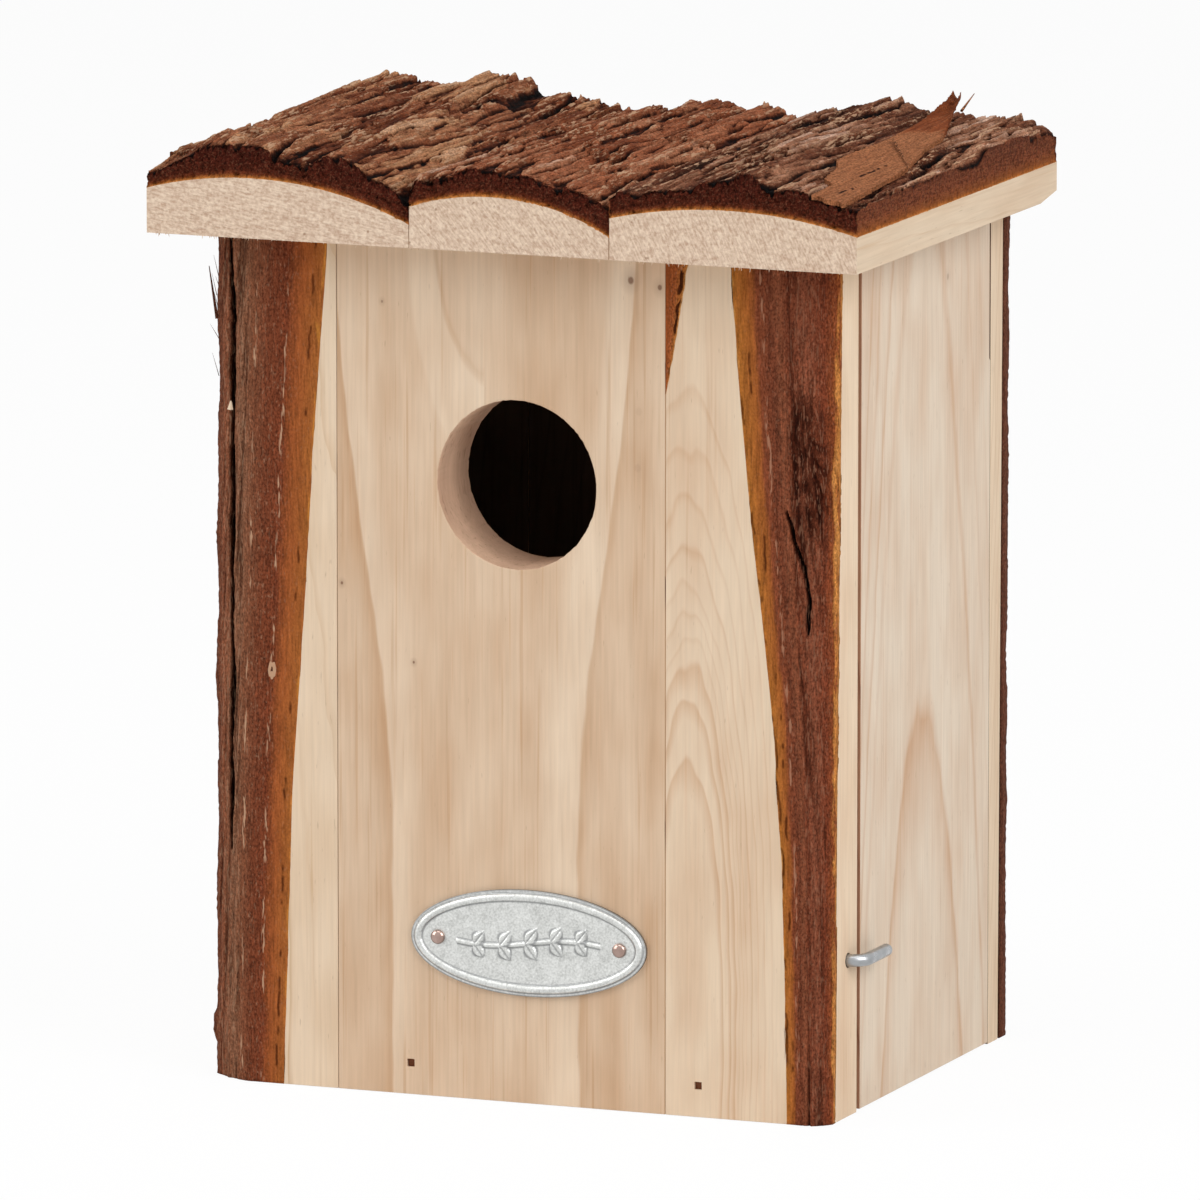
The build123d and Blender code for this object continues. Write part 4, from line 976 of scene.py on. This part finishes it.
def roof_bark(slab, seed):
    """The bark of one slab: plates and flakes on top, and rough sawn faces down to the wood all round."""
    cell_across = 0.26
    cell_along = 0.42
    wall_cuts = 8
    left, right, _ = slabs[slab]
    columns = round((right - left) / cell_across)
    rows = round((roof_back - roof_front) / cell_along)
    thick = [[0.0] * (rows + 1) for _ in range(columns + 1)]
    tone = [[0.0] * (rows + 1) for _ in range(columns + 1)]
    for i in range(columns + 1):
        x = left + (right - left) * i / columns
        for j in range(rows + 1):
            y = roof_front + (roof_back - roof_front) * j / rows
            plate, plate_tone = strands(x, y, seed, 9.5, 55.0, 0.8, 1.9)
            strand, strand_tone = strands(x, y, seed + 3.3, 2.7, 22.0, 0.4, 0.8)
            thread, thread_tone = strands(x, y, seed + 6.6, 0.9, 10.0, 0.16, 0.3)
            bare = flaked_off(x, y, seed)
            lie = (plate + strand + thread) * (0.55 + 0.45 * smooth_step(0, 3, y - roof_front)) - 0.8 * bare
            size = plate_thickness(slab, x, y) - 0.2 + lie + 0.12 * noise((x / 0.4, y / 0.9, seed))
            size -= smooth_step(3.0, 0.0, y - roof_front) * abs(noise((x / 1.1, y / 1.4, seed + 1)))
            if slab == "left":
                size += 1.2 * smooth_step(-52, -40, y) * smooth_step(0, -25, y) * smooth_step(-56, -63, x)
            if slab == "right":
                size += 1.3 * smooth_step(65, 70, x) * smooth_step(8, 16, y) * smooth_step(56, 48, y)
                if at(flake_left_edge, y) - 0.6 < x < at(flake_right_edge, y) + 0.6:
                    size = min(size, flake_top(x, y) - slab_top(slab, x) - flake_thickness - 0.25)
            thick[i][j] = max(size, 1.5)
            tone[i][j] = (0.3 * plate_tone + 0.25 * strand_tone + 0.2 * thread_tone
                          + 0.25 * smooth_step(-1.2, 0.8, lie)) * (1 - 0.4 * bare)
    bm = bmesh.new()
    marks = bm.verts.layers.float_color.new("bark")
    bmesh.ops.create_grid(bm, x_segments=columns, y_segments=rows, size=0.5)
    for v in bm.verts:
        i = round((v.co.x + 0.5) * columns)
        j = round((v.co.y + 0.5) * rows)
        x = left + (right - left) * i / columns
        y = roof_front + (roof_back - roof_front) * j / rows
        around = [thick[min(max(i + a, 0), columns)][min(max(j + b, 0), rows)]
                  for a, b in ((-3, 0), (3, 0), (-6, 0), (6, 0), (0, -3), (0, 3), (-3, -2), (3, -2))]
        # Painted shade: a place sunk below its neighbours is darkened as the shade in a cleft; the front
        # strip and bare patches are made darker too.
        sunk = sum(around) / len(around) - thick[i][j]
        dark_front = smooth_step(5 + 5 * noise((x / 2, 0.0, seed)), 0, y - roof_front)
        unshaded_unmarked_share = 0.85 - 1.7 * sunk - 0.55 * dark_front - 0.35 * flaked_off(x, y, seed)
        v.co = (x, y, slab_top(slab, x) + thick[i][j])
        v[marks] = (min(max(unshaded_unmarked_share, 0), 1), tone[i][j], smooth_step(0.15, 0.6, -sunk), 1)
    rim = [e for e in bm.edges if e.is_boundary]
    grown = bmesh.ops.extrude_edge_only(bm, edges=rim)["geom"]
    low = [g for g in grown if isinstance(g, bmesh.types.BMVert)]
    for v in low:
        v.co.z = slab_top(slab, v.co.x) - 0.1
        v[marks] = (0.8, 0, 0, 1)
    for face in grown:
        if isinstance(face, bmesh.types.BMFace):
            face.normal_update()
            face.material_index = 1 if abs(face.normal.y) > 0.5 else 2
    below = set(low)
    upright = [e for v in low for e in v.link_edges if e.other_vert(v) not in below]
    bmesh.ops.subdivide_edges(bm, edges=upright, cuts=wall_cuts)
    low = [v for v in bm.verts if v.co.z < slab_top(slab, v.co.x) - 0.05]
    below = set(low)
    front_foot = sorted((v for v in low if v.co.y < roof_front + 0.01), key=lambda v: v.co.x)
    back_foot = sorted((v for v in low if v.co.y > roof_back - 0.01), key=lambda v: v.co.x)
    left_foot = sorted((v for v in low if v.co.x < left + 0.01), key=lambda v: -v.co.y)
    right_foot = sorted((v for v in low if v.co.x > right - 0.01), key=lambda v: v.co.y)
    bm.faces.new([front_foot[1], back_foot[1]] + left_foot)
    bm.faces.new([back_foot[-2], front_foot[-2]] + right_foot)
    for i in range(1, columns - 1):
        bm.faces.new((front_foot[i], front_foot[i + 1], back_foot[i + 1], back_foot[i]))
    for v in bm.verts:
        x, y, z = v.co
        depth = z - slab_top(slab, x)
        if v not in below and not v.is_boundary and any(face.material_index for face in v.link_faces):
            grain = noise((x / 0.5, y / 0.5, z / 0.5))
            push = 0.6 * noise((x / 1.1, y / 1.1, z / 0.9)) - 0.5
            push += 0.5 * noise((x / 0.5, y / 0.5, z / 0.4))
            if y < roof_front + 0.01:
                v.co.y -= push
            elif y > roof_back - 0.01:
                v.co.y += push
            elif slab != "middle":
                v.co.x += 0.4 * push * (1 if slab == "right" else -1)
            if all(face.material_index for face in v.link_faces):
                v[marks] = (0.85 + 0.6 * grain, min(max(depth / usual_bark, 0.0), 1.0), 0.25, 1)
    bmesh.ops.recalc_face_normals(bm, faces=bm.faces)
    for face in bm.faces:
        face.smooth = True
    for edge in bm.edges:
        if edge.is_manifold and edge.calc_face_angle() > math.radians(35):
            edge.smooth = False
    return bm


cut_layers = [(0.0, "#c08040"), (0.05, "#98592a"), (0.12, "#66301a"), (0.22, "#4c2013"), (0.6, "#451a10"),
              (1.0, "#421a11")]
ripped_layers = [(0.0, "#b8763b"), (0.05, "#945528"), (0.15, "#7e4626"), (0.4, "#6c3a25"), (1.0, "#5a3122")]
cross_cut_bark = bark_finish("sawn_bark_cross_cut", "Y", cut_layers, 0.06, "#8a5c44", 0.5)
ripped_bark = bark_finish("sawn_bark_ripped", "Y", ripped_layers, 0.12, "#8a5a3a")
roof_layers = {
    "left": [(0.0, "#2c120b"), (0.3, "#62321e"), (0.5, "#865238"), (0.7, "#a47654"), (0.9, "#be9a7e")],
    "middle": [(0.0, "#38180f"), (0.3, "#6c3822"), (0.5, "#885036"), (0.7, "#9a664a"), (0.9, "#b8947e")],
    "right": [(0.0, "#1a0b06"), (0.3, "#442215"), (0.5, "#683d2a"), (0.7, "#8e624a"), (0.9, "#bc9a86")],
}
for slab, seed in (("left", 21), ("middle", 34), ("right", 47)):
    flaked = bark_finish(f"conifer_bark_roof_{slab}", "Y", roof_layers[slab], 0.3, "#b89274", 0.4)
    make_piece(roof_bark(slab, seed), f"roof_bark_{slab}", "house",
               [flaked, cross_cut_bark, ripped_bark], [f"roof_{slab}_bark"])


# Loose bark flake: a flat splinter of bark on the right slab, wide in front and lifting to a point behind.
# Dry outer bark, split along its fibres: its face is smooth and its ends are ragged; two needles lie by it.
flake_layers = [(0.0, "#602c16"), (0.3, "#7a4023"), (0.6, "#8a5638"), (1.0, "#966242")]
flake_finish = bark_finish("split_bark_flake", "Y", flake_layers, 0.2, "#4a2a1c")
flake_cracks = ((63.3, -30.4, 63.7, -17.3), (65.1, -46.6, 66.0, -36.9))
needles = (((58.3, 0.0, 0.3), (69.6, -19.5, -0.2)), ((57.6, 38.0, -0.5), (57.0, 46.5, 1.3)))
flake = bmesh.new()
flake_marks = flake.verts.layers.float_color.new("bark")
bmesh.ops.create_grid(flake, x_segments=48, y_segments=240, size=0.5)
for v in flake.verts:
    side = v.co.x + 0.5
    y = flake_left_edge[0][0] + (flake_left_edge[-1][0] - flake_left_edge[0][0]) * (v.co.y + 0.5)
    fray = 0.35 * noise((y / 1.4, 4 * side, 3.0)) + 0.15 * noise((y / 0.5, side, 6.0))
    fray *= (2 * side - 1) ** 3
    left_x, right_x = at(flake_left_edge, y), at(flake_right_edge, y)
    x = left_x + (right_x - left_x) * side + fray
    thread = noise((x / 0.5, y / 11, 2.0))
    rolled = smooth_step(18, 40, y)
    behind = y - 1.4 * (x - 59) - 4 * noise((x / 1.5, 2.0, 0.0))
    layer = 0.75 + 0.3 * thread - 0.5 * smooth_step(10, 18, behind)
    unshaded_unmarked_share = 1.0 - 0.2 * smooth_step(0.2, 0.6, noise((x / 0.5, y / 2.5, 9.0)))
    # Painted shade darkens the flake along its cracks.
    for x0, y0, x1, y1 in flake_cracks:
        if y0 < y < y1:
            line = x0 + (x1 - x0) * (y - y0) / (y1 - y0) + 0.3 * noise((y / 1.5, x0, 0.0))
            broken = smooth_step(-0.1, 0.1, noise((y / 1.3, x0, 3.0)))
            unshaded_unmarked_share -= broken * smooth_step(0.35, 0.1, abs(x - line))
    front_rag = 1.6 * noise((x / 1.9, 1.0, 0.0)) + 0.7 * noise((x / 0.5, 5.0, 0.0))
    front_rag *= smooth_step(-45, -52.6, y)
    curl = rolled * (1.4 * (2 * side - 1) ** 2 - 0.5)
    v.co = (x, max(y + front_rag, roof_front + 0.1), flake_top(x, y) + 0.1 * thread + curl - 0.3)
    v[flake_marks] = (min(max(unshaded_unmarked_share, 0), 1), layer, 0, 1)
grow(flake, flake.faces[:], (0, 0, -flake_thickness))
for start, end in needles:
    tips = [Vector((x, y, flake_top(x, y) + over)) for x, y, over in (start, end)]
    splinter(flake, tips[0], tips[1], 0.3)
bmesh.ops.recalc_face_normals(flake, faces=flake.faces)
for v in flake.verts:
    if v[flake_marks][3] == 0:
        v[flake_marks] = (0.7, 0.0, 0, 1)
make_piece(flake, "roof_loose_flake", "house", [flake_finish], ["roof_bark_flake"])


# Brads: square headless nails that hold the floor, left wall and roof slabs, driven under the surface.
# Coppered steel wire, browned where it shows in its hole.
coppered = plated_steel("coppered_steel_brad", "#7a4a33", "#4a2c20", 0.5)
for node in ("floor_brads", "wall_brads", "roof_brads"):
    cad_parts[node].data.materials.clear()
    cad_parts[node].data.materials.append(coppered)


# Oval plate: a thin pressed plate with a rolled rim and a leafy twig in low relief, pinned to the front.
# Galvanised tin: bright grey zinc with soft spangle, and a satin gloss that breaks on the pressed edges.
plate_low, plate_high = [corner * 1000 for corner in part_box("oval_plate")]
plate_half_length = (plate_high.x - plate_low.x) / 2
plate_half_width = (plate_high.z - plate_low.z) / 2
plate_centre = ((plate_high.x + plate_low.x) / 2, (plate_high.z + plate_low.z) / 2)
tin_thickness = 0.7
rim_inset = 1.4
rim_half_width = 0.75
rim_height = 0.55
leaves = []
for i in range(5):
    for side in (-1, 1):
        leaves.append((-11.0 + 5.2 * i, side, 3.9 - 0.35 * abs(i - 2)))


def plate_relief(x, z):
    """The pressed relief's height, and the painted shade at its foot, in its veins and along the plate's
    edge: a rim bead, and a twig with leaves.
    """
    ray = max(math.hypot(x / plate_half_length, z / plate_half_width), 0.001)
    near_edge = (1 - ray) * ray / max(math.hypot(x / plate_half_length ** 2, z / plate_half_width ** 2), 1e-6)
    from_rim = abs(near_edge - rim_inset) / rim_half_width
    height = rim_height * math.sqrt(max(1 - from_rim ** 2, 0))
    painted_foot_shade = smooth_step(0.75, 1.0, from_rim) * smooth_step(1.5, 1.1, from_rim)
    painted_foot_shade = max(painted_foot_shade, smooth_step(0.35, 0.05, near_edge))
    stem_z = 0.9 * math.sin(x / 5.5)
    if -14.5 < x < 14.5:
        from_stem = abs(z - stem_z)
        height = max(height, 0.4 * smooth_step(0.55, 0.2, from_stem))
        painted_foot_shade = max(painted_foot_shade, smooth_step(0.35, 0.5, from_stem) * smooth_step(0.85, 0.6, from_stem))
    for leaf_x, leaf_side, leaf_length in leaves:
        root_z = 0.9 * math.sin(leaf_x / 5.5)
        along_leaf = ((x - leaf_x) * 0.62 + (z - root_z) * leaf_side * 0.78) / leaf_length
        over_leaf = abs((x - leaf_x) * 0.78 - (z - root_z) * leaf_side * 0.62)
        if 0.05 < along_leaf < 1:
            breadth = 1.2 * math.sin(math.pi * along_leaf ** 0.8)
            from_leaf = over_leaf / max(breadth, 0.01)
            vein = smooth_step(0.25, 0.08, over_leaf)
            height = max(height, 0.45 * smooth_step(1.0, 0.7, from_leaf) * (1 - 0.5 * vein))
            painted_foot_shade = max(painted_foot_shade, smooth_step(0.8, 1.0, from_leaf) * smooth_step(1.5, 1.1, from_leaf), 0.7 * vein)
            if from_leaf < 0.75:
                painted_foot_shade = 0.7 * vein
    return height, painted_foot_shade


plate = bmesh.new()
# The press mark holds painted shade at the foot of the relief, in the veins and along the edge.
press = plate.verts.layers.float_color.new("press")
bmesh.ops.create_grid(plate, x_segments=260, y_segments=120, size=1.0)
for v in plate.verts:
    u, w = v.co.x, v.co.y
    x = plate_half_length * u * math.sqrt(1 - w * w / 2)
    z = plate_half_width * w * math.sqrt(1 - u * u / 2)
    height, painted_foot_shade = plate_relief(x, z)
    v.co = (plate_centre[0] + x, plate_high.y - tin_thickness - height, plate_centre[1] + z)
    v[press] = (painted_foot_shade, painted_foot_shade, painted_foot_shade, 1)
for v in grow(plate, plate.faces[:])[0]:
    v.co.y = plate_high.y
bmesh.ops.recalc_face_normals(plate, faces=plate.faces)
for face in plate.faces:
    face.smooth = abs(face.normal.y) > 0.1


def pressed_tin(name):
    """Galvanised tin: satin grey metal with a fine zinc spangle, and painted shade at the foot of what is
    pressed.
    """
    finish, tree, shader, in_mm = new_finish(name)
    spangle = add(tree, "ShaderNodeTexVoronoi", {"Vector": in_mm, "Scale": 1 / 1.6}).outputs["Color"]
    tone = add(tree, "ShaderNodeSeparateColor", {0: spangle}).outputs[0]
    cloud = add(tree, "ShaderNodeTexNoise", {"Vector": in_mm, "Scale": 1 / 0.4, "Detail": 3.0}).outputs[0]
    mottle = ranged(tree, mixed(tree, 0.85, tone, cloud), 0.2, 0.75)
    colour = mixed(tree, mottle, "#eeefec", "#b6b7b4")
    painted_foot_shade = add(tree, "ShaderNodeAttribute", attribute_name="press").outputs["Fac"]
    colour = mixed(tree, maths(tree, "MULTIPLY", painted_foot_shade, 0.75), colour, "#77787a")
    rough = ranged(tree, mottle, 0.3, 0.7, 0.34, 0.5)
    relief = add(tree, "ShaderNodeBump", {"Strength": 0.25, "Distance": 0.0001, "Height": mottle}).outputs[0]
    fill(tree, shader, {"Base Color": colour, "Metallic": 1.0, "Roughness": rough, "Normal": relief})
    return finish


tin = pressed_tin("galvanised_tin_pressed")
make_piece(plate, "oval_tin_plate", "house", [tin], ["oval_plate"])


# Plate pins: two round-headed pins that hold the plate to the front.
# Coppered steel with domed heads, bright and rosy where the plating is new.
pin_spacing = 36.8
pin_head_radius = 1.4
pin_head_height = 1.0
pins = bmesh.new()
for side in (-1, 1):
    pin = bmesh.new()
    dome = [(0, -8.0), (0.6, -7.0), (0.6, -0.05), (pin_head_radius * 0.92, 0)]
    for step in range(7):
        angle = math.radians(90 * step / 6)
        dome.append((pin_head_radius * math.cos(angle), 0.12 + (pin_head_height - 0.12) * math.sin(angle)))
    lathe(pin, dome, 36)
    seat = (plate_centre[0] + side * pin_spacing / 2, plate_high.y - tin_thickness, plate_centre[1])
    pin.transform(Matrix.Translation(seat) @ Matrix.Rotation(math.radians(90), 4, "X"))
    for face in pin.faces:
        face.smooth = True
    join(pins, pin)
pin_copper = plated_steel("coppered_steel_pin", "#cbb3a9", "#80645a", 0.12)
make_piece(pins, "plate_round_pins", "house", [pin_copper], ["plate_pins"])


# Floor of the studio: a plain white sheet that runs out behind, and keeps the object's soft shadow.
# Matt paper, which the camera and mirroring surfaces see as nearly white whatever light falls on it.
stage_half_side = 9.0
stage_drop = 0.0001
white_share = 0.94
stage = bmesh.new()
bmesh.ops.create_grid(stage, x_segments=1, y_segments=1, size=stage_half_side,
                      matrix=Matrix.Translation((0, 0, -stage_drop)))
stage_mesh = bpy.data.meshes.new("studio_floor")
stage.to_mesh(stage_mesh)
stage.free()
studio_floor = put("studio_floor", stage_mesh)


def seen_rays(tree):
    """1 for rays from the camera, off a gloss or through glass, and 0 for those that only carry light."""
    rays = add(tree, "ShaderNodeLightPath").outputs
    direct = maths(tree, "ADD", rays["Is Camera Ray"], rays["Is Glossy Ray"])
    return maths(tree, "ADD", direct, rays["Is Transmission Ray"], use_clamp=True)


def matt_paper(name):
    """White paper: it shows almost plain white to the eye, and still darkens in the object's shadow."""
    finish, tree, shader, _ = new_finish(name)
    fill(tree, shader, {"Base Color": "#f2f2f2", "Roughness": 0.9, "Specular IOR Level": 0.0})
    glow = add(tree, "ShaderNodeEmission", {"Strength": 1.0}).outputs[0]
    share = maths(tree, "MULTIPLY", seen_rays(tree), white_share)
    sheet = add(tree, "ShaderNodeMixShader", {0: share, 1: shader.outputs[0], 2: glow}).outputs[0]
    tree.links.new(sheet, tree.nodes["Material Output"].inputs["Surface"])
    return finish


stage_mesh.materials.append(matt_paper("matt_white_paper"))


# Studio light: a dim white surround, a strong soft box to the right, a weaker one to the left, one overhead.
# The surround is white to the camera, and lights the object only faintly.
surround_level = 0.36
lights_aim = Vector((0, 0, 0.09))
world = bpy.data.worlds.new("white_surround")
bpy.context.scene.world = world
world.use_nodes = True
level = ranged(world.node_tree, seen_rays(world.node_tree), 0.0, 1.0, surround_level, 1.0)
fill(world.node_tree, world.node_tree.nodes["Background"], {"Color": "#ffffff", "Strength": level})


def outward(azimuth, elevation):
    """The direction away from the object, by degrees from its front and above the ground."""
    a, e = math.radians(azimuth), math.radians(elevation)
    return Vector((math.sin(a) * math.cos(e), -math.cos(a) * math.cos(e), math.sin(e)))


def soft_box(name, azimuth, elevation, distance, size, power):
    """A square soft light on a sphere about the object, facing it."""
    light = bpy.data.lights.new(name, "AREA")
    light.shape = "SQUARE"
    light.size = size
    light.energy = power
    made = put(name, light)
    aim = outward(azimuth, elevation)
    made.location = aim * distance + lights_aim
    made.rotation_euler = aim.to_track_quat("Z", "Y").to_euler()


soft_box("soft_box_right", 68, 32, 1.6, 1.1, 15.0)
soft_box("soft_box_left", -58, 28, 1.6, 1.1, 10.5)
soft_box("soft_box_top", 15, 78, 1.6, 1.2, 7.0)


# Camera: a long lens at the photograph's angle, so that upright edges stay upright.
# Its place and aim come from fitting the box's straight edges.
camera_azimuth = 21.92
camera_elevation = 9.76
camera_distance = 2.996
camera_target = Vector((0.01435, -0.03825, 0.09595))
camera_data = bpy.data.cameras.new("studio_camera")
camera_data.lens = 480
camera_data.sensor_width = 36
camera = put("studio_camera", camera_data)
look_back = outward(camera_azimuth, camera_elevation)
camera.location = camera_target + look_back * camera_distance
camera.rotation_euler = look_back.to_track_quat("Z", "Y").to_euler()
bpy.context.scene.camera = camera
bpy.context.scene.view_settings.view_transform = "Standard"
